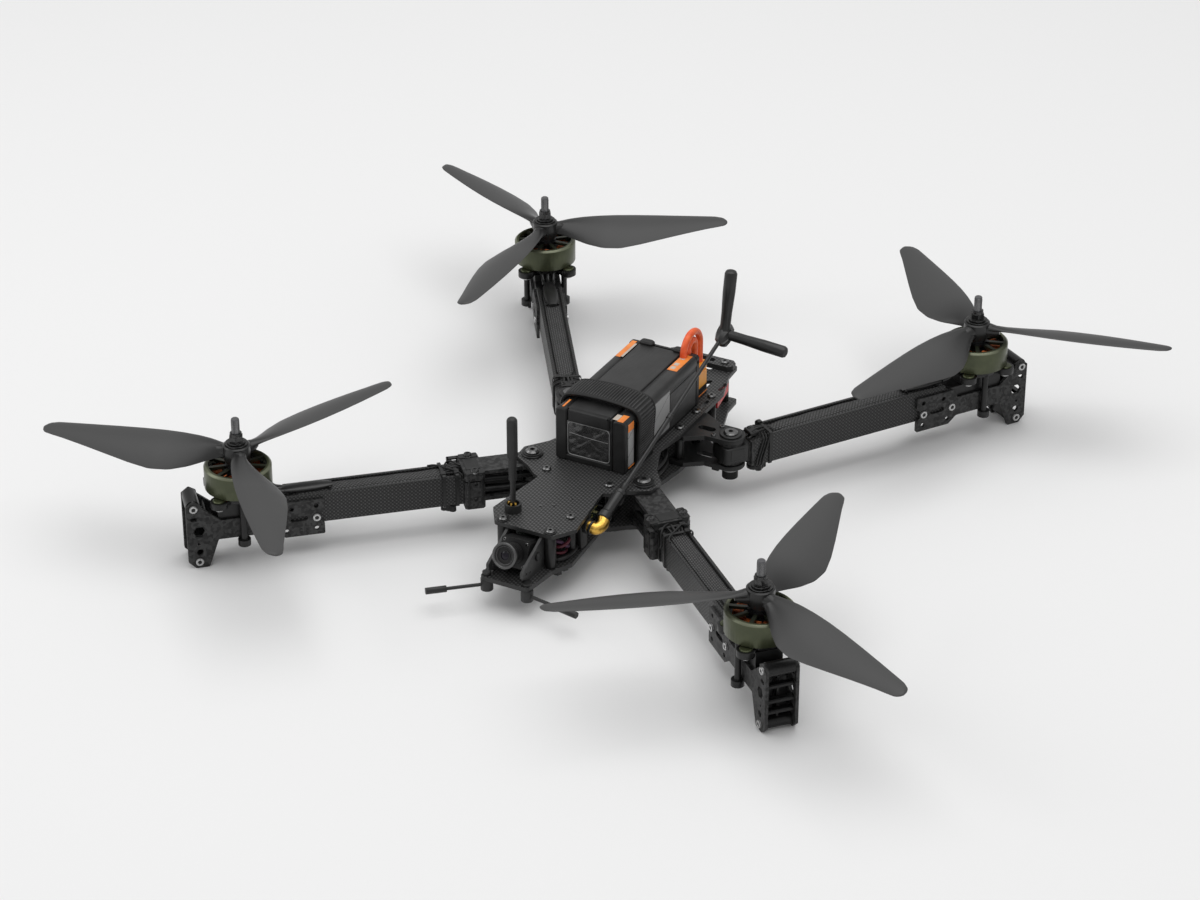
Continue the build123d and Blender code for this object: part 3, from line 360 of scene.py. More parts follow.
class Shape:
    """Geometry gathered in millimetres and made into one object at the end."""

    def __init__(self, matrix=None):
        self.bm = bmesh.new()
        self.matrix = matrix or Matrix.Identity(4)
        self.paint = 0

    def loft(self, rings, matrix=None, closed=False):
        """Quads between rings of as many points each, with flat ends or joined end to end."""
        place = self.matrix @ (matrix or Matrix.Identity(4))
        rows = [[self.bm.verts.new(place @ Vector(point)) for point in ring] for ring in rings]
        count = len(rows[0])
        faces = []
        for near, far in zip(rows, rows[1:] + rows[:1] if closed else rows[1:]):
            for i in range(count):
                j = (i + 1) % count
                faces.append(self.bm.faces.new((near[i], near[j], far[j], far[i])))
        if not closed:
            faces.append(self.bm.faces.new(list(reversed(rows[0]))))
            faces.append(self.bm.faces.new(rows[-1]))
        for face in faces:
            face.material_index = self.paint

    def lathe(self, profile, at=(0, 0, 0), axis=(0, 0, 1), segments=40, closed=False):
        """Turns (radius, height) points about an axis through a point, closed into a ring if asked."""
        place = Matrix.Translation(Vector(at)) @ Vector(axis).to_track_quat("Z", "Y").to_matrix().to_4x4()
        turns = [2 * math.pi * i / segments for i in range(segments)]
        rings = []
        for radius, height in profile:
            wide = max(radius, ON_AXIS)
            rings.append([(wide * math.cos(a), wide * math.sin(a), height) for a in turns])
        self.loft(rings, matrix=place, closed=closed)

    def rod(self, start, end, radius, chamfer=0.25, segments=28):
        """A bar between two points with eased ends."""
        length = (Vector(end) - Vector(start)).length
        c = min(chamfer, length / 3, radius / 2)
        self.lathe([(radius - c, 0), (radius, c), (radius, length - c), (radius - c, length)],
                   start, Vector(end) - Vector(start), segments)

    def slab(self, outline, near, far, chamfer=0.3, axis="Z"):
        """A plate of an anticlockwise outline between two heights along an axis, its edges eased."""
        eased = inset(outline, chamfer)
        rings = [[(*p, near) for p in eased], [(*p, near + chamfer) for p in outline],
                 [(*p, far - chamfer) for p in outline], [(*p, far) for p in eased]]
        self.loft(rings, matrix=ALONG[axis])

    def box(self, low, high, chamfer=0.3, corner=None, axis="Z"):
        """A box between opposite corners, its edges eased and its corners rounded about one axis."""
        low, high = list(map(min, low, high)), list(map(max, low, high))
        a, b, c = {"Z": (0, 1, 2), "Y": (0, 2, 1), "X": (1, 2, 0)}[axis]
        outline = rounded((low[a], low[b]), (high[a], high[b]), chamfer if corner is None else corner)
        self.slab(outline, low[c], high[c], chamfer, axis)

    def relief(self, low, high, height, matrix, cells=30):
        """A closed sheet over a rectangle, flat behind and raised by height(u, v), each from 0 to 1."""
        place = self.matrix @ matrix

        def corner(i, j, z):
            x = low[0] + (high[0] - low[0]) * i / cells
            y = low[1] + (high[1] - low[1]) * j / cells
            return self.bm.verts.new(place @ Vector((x, y, z)))

        steps = range(cells + 1)
        front = [[corner(i, j, height(i / cells, j / cells)) for j in steps] for i in steps]
        (a, d), (b, c) = [[corner(i, j, 0.0) for j in (0, cells)] for i in (0, cells)]
        outlines = [(front[i][j], front[i + 1][j], front[i + 1][j + 1], front[i][j + 1])
                    for i in range(cells) for j in range(cells)]
        outlines += [(d, c, b, a), [a, b] + [front[i][0] for i in reversed(steps)],
                     [c, d] + [front[i][cells] for i in steps], [d, a] + [front[0][j] for j in steps],
                     [b, c] + [front[cells][j] for j in reversed(steps)]]
        for outline in outlines:
            self.bm.faces.new(outline).material_index = self.paint

    def screw(self, at, radius, height, axis=(0, 0, 1), bright=0, dark=1, socket=0.5):
        """A button head whose socket floor is a disc in the dark paint: painted shade in the recess."""
        self.paint = bright
        inner = radius * socket
        self.lathe([(radius, 0), (radius, height * 0.4), (radius * 0.82, height * 0.9),
                    (radius * 0.62, height), (inner, height), (inner * 0.95, height * 0.35)], at, axis, 24)
        # painted shade: the socket floor is a disc in the dark paint
        self.paint = dark
        top = Vector(at) + Vector(axis).normalized() * height * 0.3
        self.rod(top, top + Vector(axis).normalized() * height * 0.12, inner * 1.02, segments=6)

    def pipe(self, points, radius, segments=10, steps=6):
        """A round cable along a smooth curve through the points."""
        path = smooth(points, steps)
        turns = [2 * math.pi * k / segments for k in range(segments)]
        rings, side = [], None
        for i, point in enumerate(path):
            ahead = (path[min(i + 1, len(path) - 1)] - path[max(i - 1, 0)]).normalized()
            if side is None:
                side = ahead.orthogonal()
            side = (side - ahead * side.dot(ahead)).normalized()
            up = ahead.cross(side)
            rings.append([point + side * radius * math.cos(a) + up * radius * math.sin(a) for a in turns])
        self.loft(rings)

    def finish(self, name, body, paints, slot, replaces=(), crease=35.0):
        bmesh.ops.recalc_face_normals(self.bm, faces=self.bm.faces)
        mesh = bpy.data.meshes.new(name)
        self.bm.to_mesh(mesh)
        self.bm.free()
        mesh.transform(Matrix.Scale(MM, 4))
        mesh.shade_smooth()
        mesh.set_sharp_from_angle(angle=math.radians(crease))
        made = bpy.data.objects.new(name, mesh)
        bpy.context.scene.collection.objects.link(made)
        for paint in paints:
            mesh.materials.append(paint.mat)
        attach(made, body)
        if replaces:
            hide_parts(*replaces)


ALONG = {"Z": Matrix.Identity(4),
         "Y": Matrix(((1, 0, 0, 0), (0, 0, 1, 0), (0, 1, 0, 0), (0, 0, 0, 1))),
         "X": Matrix(((0, 0, 1, 0), (1, 0, 0, 0), (0, 1, 0, 0), (0, 0, 0, 1)))}


def inset(outline, by):
    """An anticlockwise outline moved inwards."""
    points = [Vector(p) for p in outline]
    moved = []
    for before, point, after in zip(points[-1:] + points, points, points[1:] + points[:1]):
        a, b = (point - before).normalized(), (after - point).normalized()
        normal = Vector((-a.y - b.y, a.x + b.x))
        normal.normalize()
        moved.append(point + normal * by / max(0.4, normal.dot(Vector((-a.y, a.x)))))
    return moved


def rounded(low, high, radius, steps=4):
    """Outline of a rectangle with rounded corners."""
    points = []
    for cx, cy, start in ((high[0] - radius, high[1] - radius, 0), (low[0] + radius, high[1] - radius, 90),
                          (low[0] + radius, low[1] + radius, 180), (high[0] - radius, low[1] + radius, 270)):
        for i in range(steps + 1):
            turn = math.radians(start + 90 * i / steps)
            points.append((cx + radius * math.cos(turn), cy + radius * math.sin(turn)))
    return points


def smooth(points, steps):
    """Points along a Catmull-Rom curve."""
    pts = [Vector(p) for p in points]
    pts = [pts[0] * 2 - pts[1]] + pts + [pts[-1] * 2 - pts[-2]]
    path = []
    for a, b, c, d in zip(pts, pts[1:], pts[2:], pts[3:]):
        for i in range(steps):
            t = i / steps
            path.append(0.5 * (2 * b + (c - a) * t + (2 * a - 5 * b + 4 * c - d) * t * t
                               + (3 * b - a - 3 * c + d) * t ** 3))
    path.append(pts[-2])
    return path


def dress(node, paint, edge=0.0):
    """Gives a CAD node its material and eases its sharp edges."""
    piece = frame["nodes"][node]
    piece.data.materials.clear()
    piece.data.materials.append(paint.mat)
    if edge:
        weld = piece.modifiers.new("weld", "WELD")
        weld.merge_threshold = 1e-6
        bevel = piece.modifiers.new("edge", "BEVEL")
        bevel.width = edge * MM
        bevel.segments = 2
        bevel.limit_method = "ANGLE"
        bevel.angle_limit = math.radians(40)
        bevel.harden_normals = True
        bevel.use_clamp_overlap = True


# ---------------------------------------- propellers
# distance from the axis, leading edge, trailing edge, pitch in degrees, thickness
BLADE = [(6.0, 4.4, -5.0, 34.0, 6.0), (11.0, 5.6, -6.4, 33.0, 4.8), (18.0, 7.4, -10.5, 31.0, 3.6),
         (27.0, 8.8, -16.4, 28.0, 3.0), (38.0, 9.6, -21.6, 25.0, 2.6), (50.0, 9.8, -23.6, 22.0, 2.4),
         (64.0, 9.3, -21.6, 19.0, 2.1), (80.0, 8.2, -18.0, 16.0, 1.9), (98.0, 6.6, -13.6, 13.0, 1.6),
         (112.0, 5.2, -10.2, 11.0, 1.4), (119.0, 4.4, -8.8, 10.0, 1.2), (123.0, 3.2, -8.0, 9.6, 1.1),
         (125.3, 1.4, -6.8, 9.3, 0.9), (126.5, -0.8, -5.2, 9.1, 0.7), (126.9, -2.4, -3.8, 9.0, 0.4)]
BLADE_ROOT, BLADE_TIP = BLADE[0][0], BLADE[-1][0]
HUB_LOW, HUB_MIDDLE = 48.5, 54.4
CAMBER, UNDERSIDE = 0.055, 0.55     # shares of the chord and of the depth above the mean line


def at_radius(radius):
    """Blade edges, pitch and thickness at a distance from the axis."""
    for near, far in zip(BLADE, BLADE[1:]):
        if radius <= far[0]:
            t = (radius - near[0]) / (far[0] - near[0])
            return [a + (b - a) * t for a, b in zip(near[1:], far[1:])]
    return list(BLADE[-1][1:])


def blade_ring(radius, spin, around=28):
    """A cambered section, pitched for the way that the propeller turns."""
    lead, trail, pitch, thick = at_radius(radius)
    chord, tilt = lead - trail, math.radians(pitch)
    ring = []
    for k in range(around):
        turn = 2 * math.pi * k / around
        share = 0.5 - 0.5 * math.cos(turn)
        full = thick * 2.2 * math.sqrt(max(share, 0)) * (1 - share) ** 0.8 * 0.62 + 0.25 * math.sin(turn) ** 2
        camber = CAMBER * chord * 4 * share * (1 - share)
        height = camber + (full if turn < math.pi else -full * UNDERSIDE)
        ahead = lead - chord * share
        y = ahead * math.cos(tilt) - height * math.sin(tilt)
        z = ahead * math.sin(tilt) * 0.85 + height * math.cos(tilt)
        ring.append((radius, y * spin, HUB_MIDDLE + z))
    return ring


def blade_paint(corner):
    """Satin plastic, smoother about the hub and darker there: the darkening towards the hub is painted shade.
    """
    paint = Paint("propeller_" + corner.name, rough=0.4, specular=0.4)
    coords = paint.place(corner.motor)
    x, y, _ = paint.split(coords)
    radius = paint.size(x, y)
    # painted shade: darker towards the hub
    paint.set("Base Color", paint.mix(paint.step(radius, 7.0, 48.0), 0.013, 0.046))
    fine = paint.noise(coords, 1.6, 4.0, 0.65)
    paint.set("Roughness", paint.blend(paint.step(radius, 7.0, 40.0), 0.30, 0.46))
    paint.bump(fine, 0.03, 0.6)
    return paint


def propeller(corner):
    """Three twisted blades, each with a round collar where it leaves the hub."""
    shape = Shape(corner.rotor)
    stations = [round(BLADE_ROOT + (BLADE_TIP - BLADE_ROOT) * (i / 44) ** 0.92, 3) for i in range(42)]
    stations += [123.6, 125.0, 126.0, 126.5, BLADE_TIP]
    for turn in range(3):
        turned = Matrix.Rotation(2 * math.pi * turn / 3, 4, "Z")
        out = turned @ Vector((1, 0, 0))
        shape.loft([blade_ring(radius, corner.spin) for radius in stations], matrix=turned)
        shape.lathe([(4.9, 0.0), (4.6, 2.6), (3.6, 6.4), (2.4, 9.0)],
                    out * 6.2 + Vector((0, 0, HUB_MIDDLE)), out, 20)
    top = box_mm("propeller_" + corner.name)[1].z - HUB_LOW
    shape.lathe([(2.6, top - 2.2), (5.6, top - 2.2), (6.1, top - 0.2), (7.6, 11.7), (8.5, 11.0), (8.5, 6.0),
                 (8.1, 1.2), (7.6, 0.0), (2.6, 0.0)], (0, 0, HUB_LOW), segments=48)
    shape.finish("rotor_blades_" + corner.name, corner.rotor_body, [blade_paint(corner)],
                 "propeller_plastic", ["propeller_" + corner.name])


# ---------------------------------------- motors
BELL_RIM, BELL_TOP = 45.3, 43.8
SHAFT_RADIUS = 2.75


def bell_paint(corner):
    """Olive bell with a lighter band painted along its rim as a painted highlight, black inside, a dark hub
    and a threaded steel shaft.
    """
    paint = Paint("motor_bell_" + corner.name, rough=0.34, metal=0.55)
    coords = paint.place(corner.motor)
    x, y, z = paint.split(coords)
    radius = paint.size(x, y)
    green = paint.mottle(coords, 0.12, (0.058, 0.066, 0.036), (0.074, 0.083, 0.045))
    # painted highlight: a lighter band along the top of the rim
    rim = paint.times(paint.above(z, BELL_RIM), paint.above(radius, 19.2))
    green = paint.mix(rim, green, (0.14, 0.15, 0.10))
    top = paint.above(z, BELL_TOP)
    black = paint.mix(top, 0.006, (0.030, 0.034, 0.022))
    tone = paint.mix(paint.above(radius, 18.05), black, green)
    tone = paint.mix(paint.above(radius, 8.6), (0.012, 0.012, 0.013), tone)
    tone = paint.mix(paint.above(radius, SHAFT_RADIUS), (0.11, 0.11, 0.115), tone)
    paint.set("Base Color", tone)
    thread = paint.math("SINE", paint.times(z, 2 * math.pi / 0.8))
    on_thread = paint.times(paint.math("LESS_THAN", radius, SHAFT_RADIUS), paint.above(z, 60.0))
    paint.bump(paint.times(thread, on_thread), 0.12)
    return paint


def stator(corner):
    """Lugged base, bearing tube, laminations and the copper coil of each tooth."""
    shape = Shape(corner.mount)
    shape.lathe([(2.6, 28.0), (13.2, 28.0), (14.0, 28.6), (14.0, 29.8), (13.4, 30.2), (2.6, 30.2)])
    for turn in range(4):
        angle = math.radians(45 + 90 * turn)
        x, y = math.cos(angle), math.sin(angle)
        shape.rod((20.5 * x, 20.5 * y, 28.0), (20.5 * x, 20.5 * y, 30.6), 3.9, chamfer=0.5)
        shape.slab([(reach * x - half * y, reach * y + half * x)
                    for reach, half in ((11, 3), (11, -3), (20, -2.6), (20, 2.6))], 28.0, 30.0, 0.2)
    shape.paint = 1
    shape.lathe([(2.6, 30.0), (6.0, 30.0), (6.0, 43.3), (2.6, 43.3)])
    shape.lathe([(6.0, 33.0), (9.2, 33.0), (9.2, 42.0), (6.0, 42.0)])
    stem = ((-1.6, 33.2), (1.6, 33.2), (1.6, 41.8), (-1.6, 41.8))
    shoe = ((-3.3, 32.8), (3.3, 32.8), (3.3, 42.2), (-3.3, 42.2))
    teeth = [Matrix.Rotation(math.radians(30 * tooth), 4, "Z") for tooth in range(12)]
    for turned in teeth:
        shape.loft([[(x, y, z) for y, z in stem] for x in (8.0, 16.4)], matrix=turned)
        shape.loft([[(x, y * (x / 17.4), z) for y, z in shoe] for x in (16.2, 17.5)], matrix=turned)
    shape.paint = 2
    for turned in teeth:
        for layer in range(7):
            x = 9.9 + 0.92 * layer
            half, low, high = 1.75 + 0.04 * x, 32.5, 42.5
            loop = [(x, half, low + 1), (x, half, high - 1), (x, half * 0.5, high), (x, -half * 0.5, high),
                    (x, -half, high - 1), (x, -half, low + 1), (x, -half * 0.5, low), (x, half * 0.5, low)]
            ring = smooth([turned @ Vector(p) for p in loop + loop[:1]], 2)
            shape.pipe(ring, 0.46, 6, 1)
    shape.finish("stator_" + corner.name, corner.arm_body, [motor_olive, black_alloy, copper], "motor_core",
                 ["motor_stator_" + corner.name])


# ---------------------------------------- arms
def sleeve_paint(corner):
    """Black braided sleeving: small threads crossing along the arm."""
    paint = Paint("braided_sleeve_" + corner.name, rough=0.55, specular=0.35)
    s, w, _ = paint.split(paint.place(corner.pivot, corner.angle))
    height = paint.cells(paint.math("DIVIDE", s, 2.3), paint.math("DIVIDE", w, 1.45), 0.5)
    tone = paint.mottle(paint.join(s, w, 0.0), 0.5, 0.070, 0.105)
    # painted highlight and shade: the crowns of the threads are lighter, with a mottle, and the gaps between
    # them near black
    paint.set("Base Color", paint.mix(paint.math("POWER", height, 1.2), 0.005, tone))
    paint.bump(height, 0.6)
    return paint


def sleeve(corner):
    """The flat braided cable between the lips of the tube, crowned and slightly uneven."""
    start = 51.5 if corner.front else 27.0
    finish = corner.length - 29.0
    shape = Shape(corner.arm)
    rings = []
    count = 60
    for i in range(count + 1):
        s = start + (finish - start) * i / count
        end = min(1.0, min(i, count - i) / 5.0) ** 0.7
        half = (5.6 + 0.18 * math.sin(s * 0.23)) * (0.3 + 0.7 * end)
        crown = 2.3 + 0.16 * math.sin(s * 0.31 + 1.0)
        rings.append([(s, half * math.copysign(abs(math.cos(a)) ** 0.65, math.cos(a)),
                       20.5 + (crown * math.sin(a) ** 0.55 if 0 < a < math.pi else 0.02))
                      for a in [math.pi * k / 14 for k in range(15)]])
    shape.loft(rings)
    shape.finish("lead_sleeve_" + corner.name, corner.arm_body, [sleeve_paint(corner)], "braided_sleeve",
                 ["motor_leads_" + corner.name])


def fastener_paint(corner):
    """Black hardware, with bare steel where the side screws sit proud of the plates."""
    paint = Paint("arm_fasteners_" + corner.name, rough=0.33, metal=0.6)
    coords = paint.place(corner.motor, corner.angle)
    s, w, z = paint.split(coords)
    proud = paint.above(paint.math("ABSOLUTE", w), 10.55)
    end = paint.above(s, -60.0)
    bare = paint.times(proud, end)
    under = paint.above(z, 25.6)
    tone = paint.mix(bare, paint.mottle(coords, 0.9, 0.014, 0.024, 3.0, 0.6), 0.52)
    paint.set("Base Color", paint.mix(paint.times(under, paint.math("SUBTRACT", 1.0, end)), tone, 0.30))
    return paint


# ---------------------------------------- battery
def battery_film():
    """Black film, faintly mottled and wrinkled along the pack."""
    paint = Paint("battery_film", rough=0.42, specular=0.4)
    coords = paint.place()
    x, y, z = paint.split(coords)
    paint.set("Base Color", paint.mottle(coords, 0.05, 0.016, 0.026))
    drawn = paint.join(paint.times(x, 0.25), paint.times(y, 0.06), paint.times(z, 0.25))
    wrinkle = paint.noise(drawn, 1.0, 3.0)
    paint.set("Roughness", paint.blend(wrinkle, 0.34, 0.52))
    paint.bump(wrinkle, 0.5, 0.5)
    return paint


def clear_film():
    """Shrunk film over dark cells: creases run out of the middle and catch the light, which is painted into
    the base colour as a highlight.
    """
    paint = Paint("clear_film", specular=0.7)
    paint.set("Coat Weight", 0.6)
    paint.set("Coat Roughness", 0.08)
    x, _, z = paint.split(paint.place((0, 0, 44.5)))
    turn, away = paint.math("ARCTAN2", z, x), paint.size(x, z)
    rays = paint.noise(paint.join(paint.times(turn, 5.0), paint.times(away, 0.12), 0.0), 1.6, 4.0, 0.7)
    folds = paint.noise(paint.place(), 0.35, 3.0, 0.6)
    crease = paint.add(paint.times(rays, 0.65), paint.times(folds, 0.35))
    # painted highlight along the creases
    paint.set("Base Color", paint.mix(paint.step(crease, 0.55, 0.75), 0.012, 0.055))
    paint.set("Roughness", paint.blend(folds, 0.12, 0.30))
    paint.bump(crease, 0.9, 0.8)
    return paint


def side_panel():
    """Grey panel with slanted dark lines, lighter towards its upper front corner."""
    paint = Paint("battery_panel", rough=0.38)
    x, y, z = paint.split(paint.place())
    slant = paint.add(z, paint.times(y, -0.55))
    line = paint.math("LESS_THAN", paint.math("ABSOLUTE", paint.math("SINE", paint.times(slant, 0.24))), 0.05)
    tone = paint.mix(paint.step(slant, 25.0, 70.0), 0.20, 0.36)
    grain = paint.noise(paint.join(x, paint.times(y, 0.2), paint.times(z, 2.0)), 1.0, 3.0)
    tone = paint.mix(paint.times(grain, 0.4), tone, 0.10)
    paint.set("Base Color", paint.mix(line, tone, 0.03))
    paint.bump(grain, 0.05, 0.4)
    return paint


# sides of the battery pack, the seams beside its top deck and the windows of its ends
(LEFT, FRONT, BASE), (RIGHT, REAR, TOP) = box_mm("battery_pack")
SEAM_LEFT, SEAM_RIGHT = LEFT + 7.4, RIGHT - 11.0
WINDOW_LEFT, WINDOW_RIGHT = LEFT + 8.0, SEAM_RIGHT + 0.3
WINDOW_LOW, WINDOW_HIGH = BASE + 4.4, TOP - 8.1


def pack_frames(shape):
    """The wrapped cells with their shoulders and top deck, and the moulded frame at each end."""
    shape.box((LEFT + 0.5, FRONT + 1.5, BASE), (RIGHT - 0.5, REAR - 0.8, TOP - 1.4), 0.3, 2.4, "Y")
    for x0, x1 in ((LEFT, SEAM_LEFT - 0.35), (SEAM_RIGHT + 0.35, RIGHT)):
        shape.box((x0, FRONT + 4.0, TOP - 9.0), (x1, REAR - 1.0, TOP - 0.1), 0.4, 3.4, "Y")
    shape.box((SEAM_LEFT + 0.2, FRONT + 3.0, TOP - 6.0), (SEAM_RIGHT - 0.2, REAR - 2.0, TOP),
              0.7, 0.9, "Y")
    shape.paint = 1
    for y0, y1 in ((FRONT, FRONT + 4.6), (REAR - 4.6, REAR)):
        shape.box((LEFT, y0, BASE), (WINDOW_LEFT, y1, TOP - 0.2), 0.7, 2.2, "Y")
        shape.box((SEAM_RIGHT + 2.3, y0, BASE), (RIGHT, y1, TOP - 0.2), 0.7, 2.2, "Y")
        shape.box((WINDOW_RIGHT, y0 + 0.3, BASE), (SEAM_RIGHT + 2.0, y1, TOP), 0.5, 0.6, "Y")
        shape.box((WINDOW_LEFT - 1, y0 + 0.2, BASE), (WINDOW_RIGHT + 0.5, y1, WINDOW_LOW), 0.6, 0.7, "Y")
        shape.box((WINDOW_LEFT - 1, y0, WINDOW_HIGH), (WINDOW_RIGHT + 0.5, y1 - 0.2, TOP), 2.4, 0.7, "X")
    for x in (-12.0, 12.0):
        shape.box((x - 5.0, REAR - 5.5, TOP - 1.0), (x + 5.0, REAR + 0.5, TOP + 2.2), 0.9, 2.6)


def pack_windows(shape):
    """Creased clear film in each end frame, inside a rim drawn as a painted highlight line, with one fold on
    the front film drawn the same way.
    """
    def creased(u, v):
        cross = min(abs(u - v), abs(u + v - 1))
        sag = 0.8 * math.sin(math.pi * u) * math.sin(math.pi * v)
        ridge = 0.45 * math.exp(-(cross / 0.05) ** 2) * math.sin(math.pi * u)
        return max(0.2, 1.3 - sag + ridge + 0.35 * noise.noise(Vector((u * 7, v * 7, 2.0))))

    shape.paint = 2
    facing_front = Matrix(((1, 0, 0, 0), (0, 0, -1, FRONT + 2.2), (0, 1, 0, 0), (0, 0, 0, 1)))
    facing_rear = Matrix(((-1, 0, 0, 0), (0, 0, 1, REAR - 2.2), (0, 1, 0, 0), (0, 0, 0, 1)))
    shape.relief((WINDOW_LEFT, WINDOW_LOW), (WINDOW_RIGHT, WINDOW_HIGH), creased, matrix=facing_front)
    shape.relief((-WINDOW_RIGHT, WINDOW_LOW), (-WINDOW_LEFT, WINDOW_HIGH), creased, matrix=facing_rear)
    # painted highlights: a light line round each window and along one fold
    shape.paint = 6
    rim = rounded((WINDOW_LEFT + 0.5, WINDOW_LOW + 0.4), (WINDOW_RIGHT - 0.5, WINDOW_HIGH - 0.4), 2.6, 5)
    for y in (FRONT + 0.75, REAR - 0.75):
        shape.loft(ring_sections([(x, y, z) for x, z in rim], 0.32), closed=True)
    fold = WINDOW_HIGH - (WINDOW_HIGH - WINDOW_LOW) * 0.36
    shape.pipe([(WINDOW_LEFT + 1.5, FRONT + 1.0, fold + 0.4),
                ((WINDOW_LEFT + WINDOW_RIGHT) / 2, FRONT + 0.9, fold - 0.5),
                (WINDOW_RIGHT - 1.5, FRONT + 1.0, fold - 0.9)], 0.22, 6, 4)


def pack_sides(shape):
    """Grey panels on both flanks, the rear ones under a painted highlight line, and the black film behind
    them.
    """
    shape.paint = 3
    for side in (1, -1):
        for start, end, base in ((FRONT + 5.0, STRAP_FRONT - 0.5, 3.0),
                                 (STRAP_REAR + 0.5, STRAP_REAR + 27.0, 3.5)):
            shape.box((side * (RIGHT - 0.9), start, BASE + base), (side * (RIGHT - 0.1), end, TOP - 6.4),
                      0.2, 0.4, "X")
    # painted highlight: a light line along the top edge of each rear panel
    shape.paint = 6
    for x in (RIGHT - 0.2, 0.2 - RIGHT):
        shape.rod((x, STRAP_REAR + 0.8, TOP - 6.2), (x, STRAP_REAR + 27.0, TOP - 6.2), 0.32, segments=8)
    shape.paint = 0
    for side in (1, -1):
        shape.box((side * (RIGHT - 1.0), STRAP_REAR + 27.6, BASE + 2.0),
                  (side * (RIGHT - 0.05), REAR - 5.0, TOP - 9.3), 0.25, 0.8, "X")


def pack_labels(shape):
    """Orange and grey labels on the top deck and the corners."""
    shape.paint = 4
    sheet, side = TOP - 0.16, RIGHT - 0.14
    shape.box((SEAM_RIGHT + 5.0, FRONT + 1.0, sheet), (RIGHT - 1.9, FRONT + 10.0, sheet + 0.22), 0.05, 0.3)
    shape.box((side, FRONT + 4.6, TOP - 8.6), (side + 0.24, FRONT + 12.0, TOP - 3.2), 0.05, 0.3, "X")
    shape.box((SEAM_RIGHT + 1.5, REAR - 28.0, sheet), (RIGHT - 2.6, REAR - 5.0, sheet + 0.22), 0.05, 0.3)
    shape.box((LEFT + 2.0, REAR - 27.0, sheet), (LEFT + 5.4, REAR - 3.0, sheet + 0.22), 0.05, 0.3)
    shape.box((LEFT + 3.6, FRONT + 2.5, sheet), (LEFT + 4.9, FRONT + 12.5, sheet + 0.22), 0.05, 0.2)
    for x in (side, -side - 0.24):
        shape.box((x, FRONT + 5.0, BASE + 2.0), (x + 0.24, FRONT + 13.0, BASE + 2.7), 0.04, 0.1, "X")
    shape.paint = 5
    shape.box((SEAM_RIGHT + 1.2, FRONT + 2.0, sheet + 0.02), (SEAM_RIGHT + 4.8, FRONT + 9.0, sheet + 0.2),
              0.04, 0.2)
    shape.box((LEFT + 5.4, REAR - 26.0, sheet + 0.02), (LEFT + 7.0, REAR - 6.0, sheet + 0.2), 0.04, 0.2)
    for y in (REAR - 26.0, REAR - 21.0, REAR - 12.0):
        shape.box((SEAM_RIGHT + 2.4, y, sheet + 0.12), (SEAM_RIGHT + 5.6, y + 3.6, sheet + 0.3), 0.04, 0.2)


def battery():
    """The pack that lies on the top plate."""
    shape = Shape()
    for part in (pack_frames, pack_windows, pack_sides, pack_labels):
        part(shape)
    paints = [battery_film(), black_plastic, clear_film(), side_panel(), label_orange, label_grey, film_highlight]
    shape.finish("battery", "body", paints, "battery_wrap", ["battery_pack"])


def ring_sections(points, radius, segments=6):
    """Round sections about a closed loop of points."""
    points = [Vector(p) for p in points]
    turns = [2 * math.pi * k / segments for k in range(segments)]
    sections = []
    for before, point, after in zip(points[-1:] + points, points, points[1:] + points[:1]):
        ahead = (after - before).normalized()
        side = ahead.cross(Vector((0.0, 1.0, 0.0))).normalized()
        up = ahead.cross(side)
        sections.append([point + side * radius * math.cos(a) + up * radius * math.sin(a) for a in turns])
    return sections


RIB_PITCH, RIB_DEPTH, POINTS_PER_RIB = 1.9, 0.75, 6


